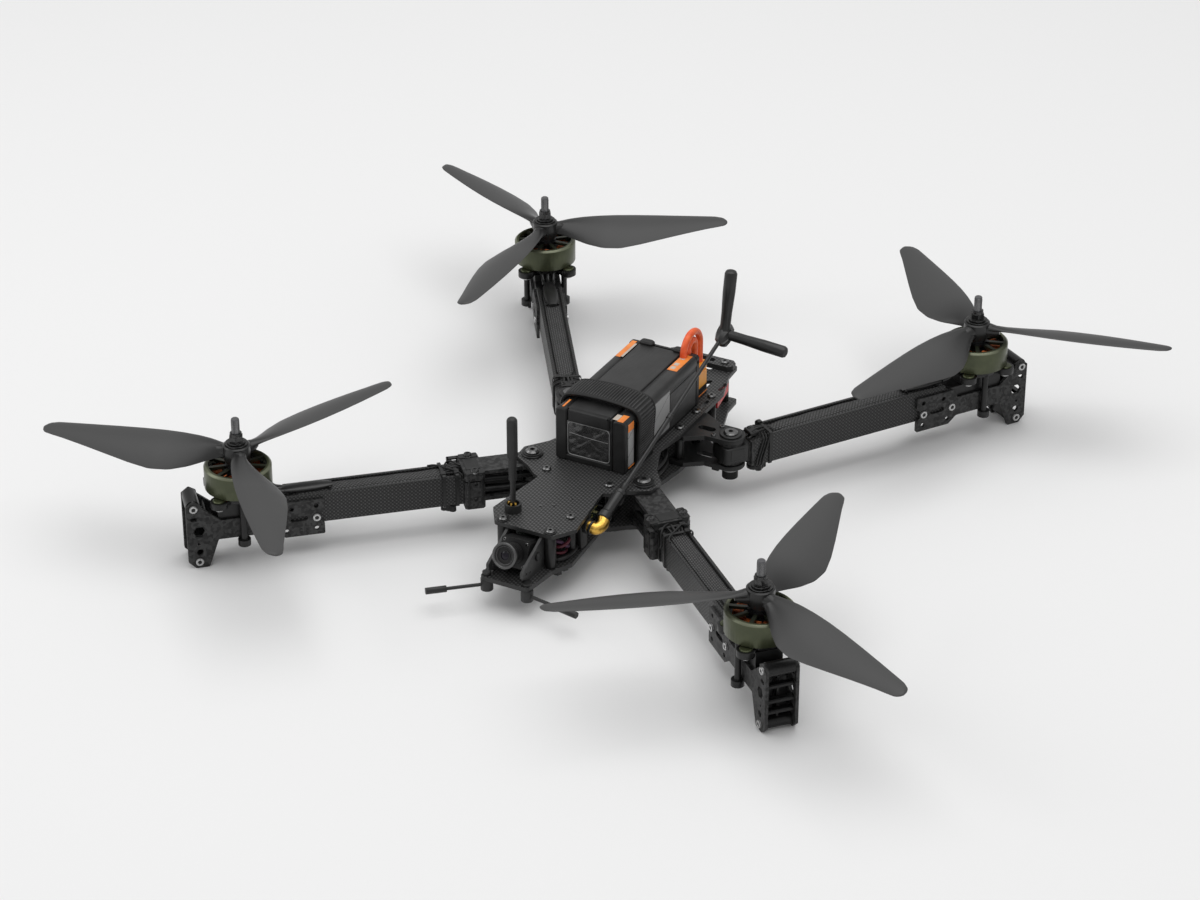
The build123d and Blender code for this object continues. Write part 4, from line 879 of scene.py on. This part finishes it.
def strap():
    """Ribbed webbing with piped edges, crowned over the pack and passed through the slots of the plate."""
    low, high = box_mm("battery_strap")
    middle, half = (low.y + high.y) / 2, (high.y - low.y) / 2
    inner, under, top = high.x - 1.6, low.z + 1.6, TOP
    side = [(0.0, under), (12.0, under), (21.5, under), (inner - 0.5, under + 0.5), (inner, DECK),
            (inner + 0.1, DECK + 7), (inner + 0.7, top - 16), (inner + 1.3, top - 8), (inner + 1.0, top - 3),
            (inner - 1.8, top + 1.0), (inner - 8, top + 2.6), (inner - 16, top + 3.3), (0.0, top + 3.6)]
    loop = side + [(-x, z) for x, z in side[-2:0:-1]]
    dense = smooth([(x, 0, z) for x, z in loop + loop[:1]], 40)
    reach = [0.0]
    for a, b in zip(dense, dense[1:]):
        reach.append(reach[-1] + (b - a).length)
    count = round(reach[-1] / RIB_PITCH) * POINTS_PER_RIB
    points, k = [], 0
    for i in range(count):
        goal = reach[-1] * i / count
        while reach[k + 1] < goal:
            k += 1
        points.append(dense[k].lerp(dense[k + 1], (goal - reach[k]) / (reach[k + 1] - reach[k])))
    across = [-1.0, -0.975, -0.93, -0.88, -0.84, -0.8, -0.4, 0.0, 0.4, 0.8, 0.84, 0.88, 0.93, 0.975, 1.0]
    rings = []
    for i, point in enumerate(points):
        ahead = (points[(i + 1) % len(points)] - points[i - 1]).normalized()
        out = Vector((ahead.z, 0, -ahead.x))
        free = min(1.0, max(0.0, (point.z - DECK - 0.5) / 4.0))
        rib = RIB_DEPTH * (0.5 - 0.5 * math.cos(2 * math.pi * i / POINTS_PER_RIB)) * free
        outer = []
        for share in across:
            piping = math.exp(-((abs(share) - 0.91) / 0.065) ** 2) * free
            crown = 0.5 * (1 - share * share) * free
            outer.append(point + out * (1.35 + piping + crown + (rib if abs(share) < 0.82 else 0.0))
                         + Vector((0, middle + half * share, 0)))
        lift = out * 0.35 * free
        inside = [point + lift * (1 - share * share) + Vector((0, middle + half * share * 0.985, 0))
                  for share in (0.97, 0.0, -0.97)]
        rings.append(outer + inside)
    shape = Shape()
    shape.loft(rings, closed=True)
    for number, face in enumerate(shape.bm.faces):
        lengthwise, crosswise = divmod(number, len(rings[0]))
        # painted highlight: the crests of the ribs are lighter
        if lengthwise % POINTS_PER_RIB in (2, 3) and 5 <= crosswise <= 8:
            face.material_index = 1
    shape.finish("strap", "body", [webbing, webbing_rib_highlight], "strap_webbing", ["battery_strap"], crease=60.0)


def plug():
    """Two mated halves of the power connector: a ribbed black socket and an amber plug with its end cap."""
    low, high = box_mm("battery_plug")
    split = low.z + (high.z - low.z) * 0.57
    shape = Shape()
    shape.box(low, (high.x, high.y, split), 0.5, 1.5)
    for y in [low.y + 2.6 + 1.8 * k for k in range(7)]:
        for x in (low.x - 0.25, high.x - 0.15):
            shape.box((x, y, low.z + 4.0), (x + 0.4, y + 0.8, split - 1.5), 0.1)
    shape.box((low.x + 0.5, low.y + 0.5, split), (high.x - 0.5, high.y - 0.5, high.z - 5.5), 0.4, 1.2)
    shape.paint = 1
    shape.box((low.x + 0.2, low.y + 0.2, high.z - 5.6), (high.x - 0.2, high.y - 0.2, high.z), 0.8, 1.4)
    shape.box((high.x - 0.5, low.y + 2.0, split - 6.0), (high.x + 0.3, high.y - 2.0, high.z - 5.0),
              0.2, 0.4, "X")
    shape.paint = 2
    shape.box((low.x - 0.15, low.y - 0.15, low.z + 1.2), (high.x + 0.15, high.y + 0.15, low.z + 1.9),
              0.1, 1.5)
    shape.finish("power_plug", "body", [connector_black, connector_amber, label_orange], "connector_plastic",
                 ["battery_plug"])


# ---------------------------------------- aerials
def elbow():
    """A gilt right-angle connector, with the nut and ring that hold it to its bracket."""
    shape = Shape()
    x, y, z = AERIAL_FOOT
    shape.box((18.0, y - 4.0, box_mm("antenna_elbow")[0].z), (24.0, y + 4.0, PLATE_LOW.z - 0.05), 0.5, 1.0)
    shape.lathe([(4.6, 0), (5.0, 0.4), (5.0, 2.6), (4.6, 3.0)], (24.0, y, z - 1.0), (1, 0, 0), 6)
    shape.lathe([(4.2, 0), (4.6, 0.3), (4.6, 1.3), (4.2, 1.6)], (28.4, y - 0.2, z - 1.3), (1, -0.1, -0.1), 28)
    shape.paint = 1
    shape.rod((26.0, y, z - 1.0), (29.0, y, z - 1.2), 3.6)
    shape.pipe([(29.0, y - 0.3, z - 1.4), (32.2, y + 0.3, z - 1.6), (x + 1.0, y + 4.0, z - 0.2),
                AERIAL_FOOT + AERIAL_RUN * 9.0], 3.85, 28, 10)
    shape.finish("aerial_elbow", "body", [black_alloy, gold], "gold", ["antenna_elbow"])


def whip(shape, start, direction, length, root, tip):
    """A rubber-covered whip that swells towards its rounded end."""
    shape.lathe([(root * 1.25, 0), (root, 3.0), (root * 1.02, length * 0.3), (tip, length * 0.62),
                 (tip, length - 2.2), (tip * 0.82, length - 0.8), (tip * 0.4, length)], start, direction, 28)


def video_aerial():
    """A sleeved mast that ends in a faceted head with one upright and one level whip."""
    shape = Shape()
    reach = (AERIAL_HEAD - AERIAL_FOOT).length
    shape.lathe([(3.9, 6.5), (4.3, 7.0), (4.3, 11.0), (3.9, 11.6), (3.6, 13.0), (3.4, 28.0), (3.7, 28.4),
                 (3.7, 30.6), (3.2, 31.2), (2.5, 32.4), (2.3, 37.0), (1.9, 37.6)],
                AERIAL_FOOT, AERIAL_RUN, 30)
    shape.lathe([(1.55, 36.0), (1.55, 96.0), (1.95, 96.6), (1.95, 100.0), (1.45, 100.6), (1.35, reach - 2.0)],
                AERIAL_FOOT, AERIAL_RUN, 20)
    shape.lathe([(1.6, -9.0), (3.4, -7.4), (5.4, -2.0), (5.6, 1.5), (4.6, 5.0), (2.6, 7.2)],
                AERIAL_HEAD, AERIAL_RUN, 8)
    shape.lathe([(3.0, -8.5), (5.0, -5.0), (5.4, 0.0), (4.4, 4.0)], AERIAL_HEAD, (0.1, 0.1, 1.0), 10)
    whip(shape, AERIAL_HEAD + Vector((0.2, 0, 3.0)), (0.07, 0.04, 1.0), 42.0, 3.4, 4.1)
    whip(shape, AERIAL_HEAD + Vector((2.5, 0, -0.5)), (1.0, -0.05, -0.04), 42.5, 3.3, 3.9)
    shape.finish("video_aerial", "body", [mast_rubber], "antenna_plastic", ["video_antenna"], crease=28.0)


def stub_contacts():
    """Gilt springs that stand in the ring of the short whip."""
    low, high = box_mm("stub_antenna")
    x, y = (low.x + high.x) / 2, (low.y + high.y) / 2
    shape = Shape()
    for turn in (215, 275, 335):
        a = math.radians(turn)
        at = Vector((x + 3.0 * math.cos(a), y + 3.0 * math.sin(a), DECK + 1.0))
        out = Vector((math.cos(a), math.sin(a), 0))
        shape.pipe([at, at + out * 0.3 + Vector((0, 0, 2.4)), at - out * 0.3 + Vector((0, 0, 4.4)),
                    at - out * 0.7 + Vector((0, 0, 5.6))], 0.7, 8, 4)
    shape.finish("stub_contacts", "body", [gold], "gold")


# ---------------------------------------- nose camera
def lens_piece():
    """Ribbed barrel, knurled focus ring and stepped front around domed glass."""
    shape = Shape(CAMERA_AIM @ Matrix.Rotation(math.radians(90), 4, "X"))
    barrel = [(6.2, 6.3)]
    for step in range(4):
        start = 7.4 + 1.9 * step
        barrel += [(6.2, start), (6.75, start + 0.15), (6.75, start + 0.95), (6.2, start + 1.1)]
    shape.lathe(barrel + [(6.4, 15.2), (7.5, 15.9), (7.8, 16.3), (7.8, 18.9), (7.3, 19.5), (6.9, 19.5),
                          (6.5, 19.0), (5.5, 18.2), (5.4, 17.6), (ON_AXIS, 17.6)], segments=56)
    for notch in range(26):
        turn = 2 * math.pi * notch / 26
        at = Vector((7.75 * math.cos(turn), 7.75 * math.sin(turn), 16.9))
        shape.rod(at, at + Vector((0, 0, 1.7)), 0.28, chamfer=0.08, segments=8)
    shape.paint = 1
    shape.lathe([(6.7, 19.1), (7.0, 19.5), (7.7, 19.5), (7.9, 19.1), (7.9, 18.5), (8.2, 18.7), (8.2, 19.4),
                 (7.8, 19.9), (7.0, 19.9), (6.6, 19.5)], segments=56, closed=True)
    shape.lathe([(5.2, 18.2), (5.9, 18.2), (5.9, 18.7), (5.5, 18.8)], segments=48, closed=True)
    # painted shade: the step round the glass is near black
    shape.paint = 3
    shape.lathe([(2.9, 17.6), (4.9, 17.6), (4.9, 18.1), (4.4, 18.1), (4.3, 17.9), (3.6, 17.9), (3.5, 18.3),
                 (2.9, 18.3)], segments=48, closed=True)
    shape.paint = 2
    shape.lathe([(3.1, 17.5), (3.0, 17.9), (2.4, 18.4), (1.5, 18.7), (0.7, 18.82), (0.1, 18.85)], segments=40)
    shape.finish("camera_lens_ring", "camera", [black_alloy, lens_grey, glass, recess_shade], "lens_black",
                 ["camera_lens"])


def camera_screws():
    """Front screws of the camera housing and its rear connector."""
    shape = Shape(CAMERA_AIM)
    for x in (-7.6, 7.6):
        for z in (-7.1, 7.1):
            shape.screw((x, -6.4, z), 1.1, 0.5, (0, -1, 0))
    shape.paint = 1
    shape.box((-4.0, 6.4, -3.0), (4.0, 8.6, 2.0), 0.3)
    shape.finish("camera_screws", "camera", [bright_steel, black_plastic], "camera_plastic")


# ---------------------------------------- body details
def plate_details():
    """Washers of the pivot bolts, screws and tabs of the rear brackets, deck chips and nuts below."""
    shape = Shape()
    for corner in corners:
        x, y = corner.pivot.x, corner.pivot.y
        if corner.front:
            shape.lathe([(4.9, 0), (7.0, 0), (7.0, 0.9), (6.6, 1.3), (4.9, 1.3)], (x, y, DECK + 0.02),
                        segments=44, closed=True)
            shape.lathe([(4.5, 0), (5.9, 0), (5.9, 0.9), (4.5, 0.9)], (x, y, DECK + 0.9),
                        segments=44, closed=True)
        else:
            side = math.copysign(1, x)
            shape.lathe([(4.8, 0), (7.2, 0), (7.2, 0.8), (6.8, 1.1), (4.8, 1.1)], (x, y, PLATE_LOW.z + 0.02),
                        segments=44, closed=True)
            for back in (-6.2, 6.4):
                shape.screw((x - side * 9.2, y + back, PLATE_LOW.z), 1.7, 1.0, bright=1, dark=0)
            shape.paint = 0
            for back in (-8.0, 3.6):
                shape.box((x - side * 4.5, y + back, 0.4), (x - side * 9.5, y + back + 4.0, 3.1), 0.3, 0.6)
    for x, y in ((19.5, -134.0), (20.5, -127.5), (18.8, -120.5)):
        shape.lathe([(2.6, 0), (2.9, -0.4), (2.9, -2.4), (2.2, -3.0)], (x, y, 0.0), segments=6)
    for x in (-16.4, 16.4):
        shape.lathe([(2.9, 0), (3.9, 0), (3.9, 0.7), (2.9, 0.7)], (x, -137.0, DECK), segments=32, closed=True)
    shape.paint = 1
    for x, y, turn in ((-4.0, -112.0, 0.5), (3.0, -108.0, 0.2), (9.0, -96.0, 1.2)):
        a, b = Vector((math.cos(turn), math.sin(turn), 0)), Vector((-math.sin(turn), math.cos(turn), 0))
        at = Vector((x, y, DECK))
        outline = [(at + a * i * 1.1 + b * j * 0.6).xy for i, j in ((-1, -1), (1, -1), (1, 1), (-1, 1))]
        shape.slab(outline, DECK, DECK + 0.5, 0.12)
    shape.finish("plate_hardware", "body", [black_alloy, bright_steel], "dark_steel")


def nose_electronics():
    """A side board with its components, the wires beside it and the red strips under the tail."""
    shape = Shape()
    rng = random.Random(7)
    shape.box((15.4, -101.0, 9.0), (16.8, -78.0, 24.0), 0.2, 0.2, "X")
    shape.box((-14.0, -128.0, 4.0), (11.0, -119.0, 22.0), 0.6, 0.8)
    for _ in range(46):
        y, z = rng.uniform(-100.0, -80.0), rng.uniform(10.0, 22.5)
        w, h = rng.uniform(0.7, 2.4), rng.uniform(0.6, 1.6)
        shape.paint = rng.choice((1, 1, 2, 3, 4))
        shape.box((16.7, y, z), (16.9 + rng.uniform(0.4, 1.2), y + w, z + h), 0.1, 0.1, "X")
    cables = [(4, 1.2, [(12, -129, 16), (17, -126, 15), (19.5, -121, 10), (16, -114, 9)]),
              (5, 1.1, [(12, -128, 12), (18, -127, 12.5), (20.5, -122.5, 14), (17, -113, 14)]),
              (5, 0.9, [(11, -129, 9), (16.5, -128, 8), (19.0, -123, 7), (15, -112, 6)]),
              (3, 1.5, [(14, -133, 4.6), (20.5, -128, 5.4), (21.6, -119, 5), (20, -109, 4.8), (17, -100, 6)]),
              (3, 1.4, [(12, -118, 20), (20, -113.5, 21.5), (23.4, -104, 20), (20.5, -95, 21),
                        (12, -84, 20)]),
              (3, 1.7, [(8, -70, 12), (17, -66, 9), (22, -58, 7), (19, -46, 8), (20, -34, 7)]),
              (3, 1.6, [(18, -40, 18), (25.5, -28, 15), (26.5, -8, 13), (22.5, 6, 15), (10, 20, 16)]),
              (3, 1.6, [(18, -44, 12), (25.0, -24, 8), (26.0, -4, 7), (21.5, 8, 8), (8, 24, 9)]),
              (3, 1.6, [(-18, -40, 18), (-25.5, -28, 15), (-26.5, -8, 13), (-22.5, 6, 15), (-10, 20, 16)]),
              (3, 1.5, [(-16, -129, 15), (-21.5, -121, 12), (-20.5, -104, 10), (-14, -92, 12)])]
    for paint, radius, route in cables:
        shape.paint = paint
        shape.pipe(route, radius, 12, 8)
    shape.paint = 6
    shape.rod((22.0, -40.0, 14.0), (27.0, -31.0, 14.5), 0.9)
    shape.paint = 7
    strip = [(29.0, 64.0), (30.6, 64.0), (26.4, 88.5), (24.8, 88.5)]
    for side in (1, -1):
        outline = strip if side > 0 else [(-x, y) for x, y in reversed(strip)]
        shape.slab(outline, 18.5, PLATE_LOW.z - 0.1, 0.3)
    shape.finish("nose_electronics", "body", [board_green, board_chip, gold, black_plastic, wire_purple,
                                             wire_red, bright_steel, strip_red], "circuit_board")


def pivot_paint():
    """Steel bolt heads above the deck and blackened nuts below the frame."""
    paint = Paint("pivot_bolts", rough=0.27, metal=1.0)
    coords = paint.place()
    above = paint.above(paint.split(coords)[2], -0.2)
    paint.set("Base Color", paint.mix(above, 0.02, paint.mottle(coords, 1.4, 0.14, 0.24, 3.0, 0.6)))
    paint.set("Roughness", paint.blend(paint.noise(coords, 3.0, 3.0), 0.22, 0.38))
    return paint


# ---------------------------------------- arm details
# sideways place, height and radius of each lead between the tongues of a front hinge
LEAD_BUNDLE = [(-4.9, 8.6, 2.2), (-0.3, 7.9, 2.1), (4.7, 8.8, 2.3), (-2.9, 12.7, 2.1),
               (2.2, 12.4, 2.2), (-4.8, 16.6, 2.0), (0.1, 16.9, 2.2), (4.9, 16.3, 2.1)]
TIED_WIRES = [[(46.5, 8.6, 23.0), (50.0, 6.0, 25.4), (55.0, 0.5, 25.2), (61.0, -6.8, 24.0),
               (66.0, -8.2, 23.4)],
              [(46.5, -2.0, 24.5), (51.0, -6.5, 25.8), (54.0, -9.4, 23.0), (55.0, -9.5, 17.0),
               (52.0, -9.2, 12.0)]]
ROOT_PAINTS = [black_alloy, recess_shade, dark_steel, black_plastic]


def front_root(corner):
    """Screw bosses, side screws, a clip, tied wires and the lead bundle at the clamp of a front arm."""
    shape = Shape(corner.arm)
    for side in (1, -1):
        outer = side * 13.1
        shape.paint = 0
        shape.box((33.4, side * 8.1, 25.3), (45.6, outer, 26.3), 0.35, 0.9)
        shape.box((34.0, side * 8.1, 2.2), (35.6, outer, 23.5), 0.3)
        for z in (7.0, 18.0):
            shape.screw((39.5, side * 12.95, z), 1.5, 0.7, (0, side, 0), bright=0, socket=0.6)
        shape.paint = 0
        for s in (35.2, 43.6):
            shape.box((s - 0.6, side * 12.9, 3.0), (s + 0.6, side * 13.5, 22.5), 0.2, 0.2, "Y")
        shape.screw((39.5, side * 10.6, 26.3), 2.75, 1.4, bright=2)
    shape.paint = 0
    shape.box((35.0, -6.6, 25.3), (44.0, 6.6, 25.9), 0.25, 0.8)
    for z0, z1 in ((19.6, 21.0), (22.8, 24.2)):
        shape.box((44.8, -15.6, z0), (52.5, -12.6, z1), 0.3)
    for s in (44.8, 51.1):
        shape.box((s, -15.6, 19.6), (s + 1.4, -12.6, 24.2), 0.3)
    zip_ties(shape, (50.2, 58.6))
    shape.paint = 3
    for w, lift, radius in ((-4.0, 2.4, 0.75), (-1.0, 3.2, 0.8), (2.2, 2.8, 0.75), (5.0, 2.0, 0.7)):
        shape.pipe([(46.0, w * 0.8, 21.4), (48.5, w, 21.2 + lift), (52.5, w * 0.9, 22.4 + lift * 0.6),
                    (58.0, w * 0.6, 22.6)], radius, 8, 5)
    for route in TIED_WIRES:
        shape.pipe(route, 0.6, 8, 5)
    for w, z, radius in LEAD_BUNDLE:
        last = 2.0 if abs(w) > 4 else 7.0
        shape.pipe([(35.5, w, z), (28.0, w * 1.05, z + 0.4), (19.0, w * 0.92, z - 0.3),
                    (last, w * 1.05, z + 0.2)], radius, 12, 5)
    shape.finish("clamp_details_" + corner.name, corner.arm_body, ROOT_PAINTS, "black_alloy")


def zip_ties(shape, places, low=1.9, high=24.2, half=9.2):
    """Narrow bands drawn round the tube."""
    outline, middle = rounded((-half, low), (half, high), 1.6, 3), (low + high) / 2
    for s in places:
        rings = [[(s + a, w * k, middle + (z - middle) * k)
                  for a, k in ((-1.0, 1.0), (-1.0, 1.045), (1.0, 1.045), (1.0, 1.0))] for w, z in outline]
        shape.loft(rings, closed=True)
        shape.box((s - 1.6, half - 5.0, high - 0.2), (s + 1.6, half - 1.5, high + 1.5), 0.3)


def rear_root(corner):
    """A housing on the barrel, a clip, the screw that locks a fold and wires wound round the root."""
    shape = Shape(corner.arm)
    shape.box((-9.0, -9.2, 8.2), (9.5, 9.2, 19.8), 0.5, 3.0)
    for side in (1, -1):
        shape.box((-5.0, side * 9.2 - 0.3, 10.0), (5.0, side * 9.2 + 0.3, 18.0), 0.2, 0.6, "Y")
    shape.box((12.0, -4.6, 21.8), (18.5, 4.6, 24.6), 0.5, 1.0)
    for w in (-3.0, 3.0):
        shape.screw((15.2, w, 24.6), 1.3, 0.6, bright=2)
    shape.paint = 0
    shape.lathe([(1.8, 3.0), (1.8, -0.6), (4.3, -0.9), (4.7, -1.4), (4.7, -3.2), (4.2, -3.7), (2.0, -3.9)],
                (17.5, 0, 0), segments=12)
    zip_ties(shape, (24.5,))
    shape.paint = 3
    half = [(20.3, 4.0, 22.9), (19.4, 8.6, 21.4), (18.2, 9.15, 17.8), (15.4, 9.15, 9.0), (14.0, 8.5, 2.5),
            (13.7, 4.5, 1.8)]
    for shift, radius in ((0.0, 0.65), (2.0, 0.55), (4.2, 0.65)):
        route = [(s + shift, w, z) for s, w, z in half] + [(s + shift, -w, z) for s, w, z in reversed(half)]
        shape.pipe(route, radius, 8, 4)
    for w, lift in ((-3.4, 1.6), (-0.6, 2.4), (2.6, 1.8)):
        shape.pipe([(11.0, w * 1.2, 21.0), (16.0, w, 21.8 + lift), (22.0, w * 0.8, 22.2 + lift),
                    (29.0, w * 0.5, 22.8)], 0.8, 8, 5)
    shape.finish("hinge_details_" + corner.name, corner.arm_body, ROOT_PAINTS, "black_alloy")


def arm_end(corner):
    """Bright rings of the side screws with painted shade in their sockets, the leads and their sleeve, and a
    dark plate and web in the foot as painted shade.
    """
    shape = Shape(corner.mount)
    for s, z in ((-46.0, 7.5), (-24.0, 7.5), (30.2, 23.6), (28.2, -14.0)):
        for side in (1, -1):
            shape.paint = 0
            shape.lathe([(1.25, 0), (2.5, 0), (2.5, 0.35), (2.15, 0.6), (1.5, 0.6), (1.25, 0.4)],
                        (s, side * 11.25, z), (0, side, 0), 30, closed=True)
            # painted shade: a near-black disc in the middle of each ring
            shape.paint = 1
            shape.rod((s, side * 11.2, z), (s, side * 11.4, z), 1.5, chamfer=0.05, segments=6)
    shape.paint = 2
    rings = []
    for i in range(13):
        s = -58.0 + 34.0 * i / 12
        end = math.sin(math.pi * min(1.0, max(0.0, (i + 0.6) / 13.2))) ** 0.35
        rings.append([(s, 4.9 * end * math.copysign(abs(math.cos(a)) ** 0.7, math.cos(a)),
                       24.1 + 1.9 * end * math.copysign(abs(math.sin(a)) ** 0.7, math.sin(a)))
                      for a in [2 * math.pi * k / 16 for k in range(16)]])
    shape.loft(rings)
    for w, inner in ((-3.2, -5.0), (0.0, 0.0), (3.2, 5.0)):
        shape.pipe([(-27.0, w, 24.2), (-22.5, w * 1.1, 25.4), (-18.5, w * 1.3, 28.6), (-14.0, inner, 29.6),
                    (-10.0, inner, 29.8)], 1.15)
    shape.paint = 3
    for w in (-3.9, 3.9):
        shape.rod((-56.0, w, 23.0), (-56.0, w, 24.6), 0.9)
    # painted shade: a dark plate and web inside the foot, standing where its windows show only shade
    shape.box((22.0, -8.35, -15.5), (23.2, 8.35, 19.5), 0.2)
    shape.box((22.6, -0.7, -15.0), (28.8, 0.7, 19.0), 0.2)
    shape.finish("arm_end_details_" + corner.name, corner.arm_body,
                 [ring_steel, recess_shade, shrink_black, black_alloy], "dark_steel")


def shaft_thread(corner):
    """Thread turns on the free end of the shaft."""
    shape = Shape(Matrix.Translation(corner.motor))
    turns, steps, start, rise = 11, 16, box_mm("prop_nut_" + corner.name)[1].z + 0.2, 8.4
    rings = []
    for i in range(turns * steps + 1):
        a = 2 * math.pi * i / steps
        out = Vector((math.cos(a), math.sin(a), 0))
        base = out * 2.35 + Vector((0, 0, start + rise * i / (turns * steps)))
        rings.append([base + Vector((0, 0, -0.28)), base + out * 0.33, base + Vector((0, 0, 0.28))])
    shape.loft(rings)
    shape.finish("shaft_thread_" + corner.name, corner.rotor_body, [thread_steel], "dark_steel")


for corner in corners:
    name = corner.name
    dress("arm_tube_" + name, carbon_tube(corner), 0.35)
    forged = forged_carbon(corner)
    dress("arm_knuckle_" + name, forged, 0.3)
    dress("arm_end_plates_" + name, forged, 0.2)
    dress("arm_fasteners_" + name, fastener_paint(corner))
    dress("motor_mount_" + name, black_alloy, 0.25)
    dress("motor_bell_" + name, bell_paint(corner), 0.2)
    dress("prop_nut_" + name, dark_steel, 0.15)
    propeller(corner)
    stator(corner)
    sleeve(corner)
    arm_end(corner)
    shaft_thread(corner)
    (front_root if corner.front else rear_root)(corner)

dress("top_plate", plate_paint, 0.2)
dress("bottom_plate", plate_paint, 0.2)
dress("tail_bar", plate_paint, 0.25)
dress("standoffs", black_alloy, 0.2)
dress("plate_screws", bright_steel)
dress("rear_brackets", black_plastic, 0.25)
dress("pivot_bolts", pivot_paint())
dress("camera_cage", cage_paint, 0.25)
dress("flight_stack", black_plastic)
dress("video_transmitter", plate_paint)
dress("battery_lead", silicone)
dress("stub_antenna", antenna_plastic)
dress("receiver_antennas", antenna_plastic, 0.2)
dress("camera_body", black_plastic, 0.2)
for make in (battery, strap, plug, elbow, video_aerial, stub_contacts, lens_piece, camera_screws,
             plate_details, nose_electronics):
    make()


# ---------------------------------------- camera, floor and light
FLOOR_REACH = 12.0
target = Vector((-4.5, -33.0, 27.0)) * MM
azimuth, elevation, distance = math.radians(27.82), math.radians(29.53), 2.2068
level = Vector((math.sin(azimuth), -math.cos(azimuth), 0)) * math.cos(elevation)
back = level + Vector((0, 0, math.sin(elevation)))
lens = bpy.data.cameras.new("camera")
lens.lens, lens.sensor_width, lens.clip_end = 105.0, 36.0, 60.0
camera = bpy.data.objects.new("camera", lens)
camera.location = target + back * distance
camera.rotation_mode = "QUATERNION"
camera.rotation_quaternion = (-back).to_track_quat("-Z", "Y")
bpy.context.scene.collection.objects.link(camera)
bpy.context.scene.camera = camera

floor_mesh = bpy.data.meshes.new("floor")
floor_mesh.from_pydata([(x * FLOOR_REACH, y * FLOOR_REACH, cad_box[0][2])
                        for x, y in ((-1, -1), (1, -1), (1, 1), (-1, 1))], [], [(0, 1, 2, 3)])
floor = bpy.data.objects.new("floor", floor_mesh)
floor_paint = Paint("floor", rough=0.75, specular=0.2)
floor_paint.set("Base Color", colour(0.80))
floor_mesh.materials.append(floor_paint.mat)
bpy.context.scene.collection.objects.link(floor)

world = bpy.data.worlds.new("studio")
world.use_nodes = True
backdrop = world.node_tree.nodes["Background"].inputs
backdrop["Color"].default_value = colour(1.0)
backdrop["Strength"].default_value = 0.585
bpy.context.scene.world = world


def softbox(name, place, towards, size, watts):
    """A rectangular lamp turned towards a point."""
    light = bpy.data.lights.new(name, "AREA")
    light.shape, light.size, light.size_y, light.energy = "RECTANGLE", size[0], size[1], watts
    made = bpy.data.objects.new(name, light)
    made.location = place
    made.rotation_mode = "QUATERNION"
    made.rotation_quaternion = (Vector(towards) - Vector(place)).to_track_quat("-Z", "Y")
    bpy.context.scene.collection.objects.link(made)


softbox("overhead", (0.15, 0.1, 2.3), (0, -0.05, 0), (2.8, 2.4), 35.0)
softbox("side", (-1.9, -0.9, 1.3), (0, 0, 0), (1.2, 1.2), 9.0)
bpy.context.scene.view_settings.view_transform = "Standard"
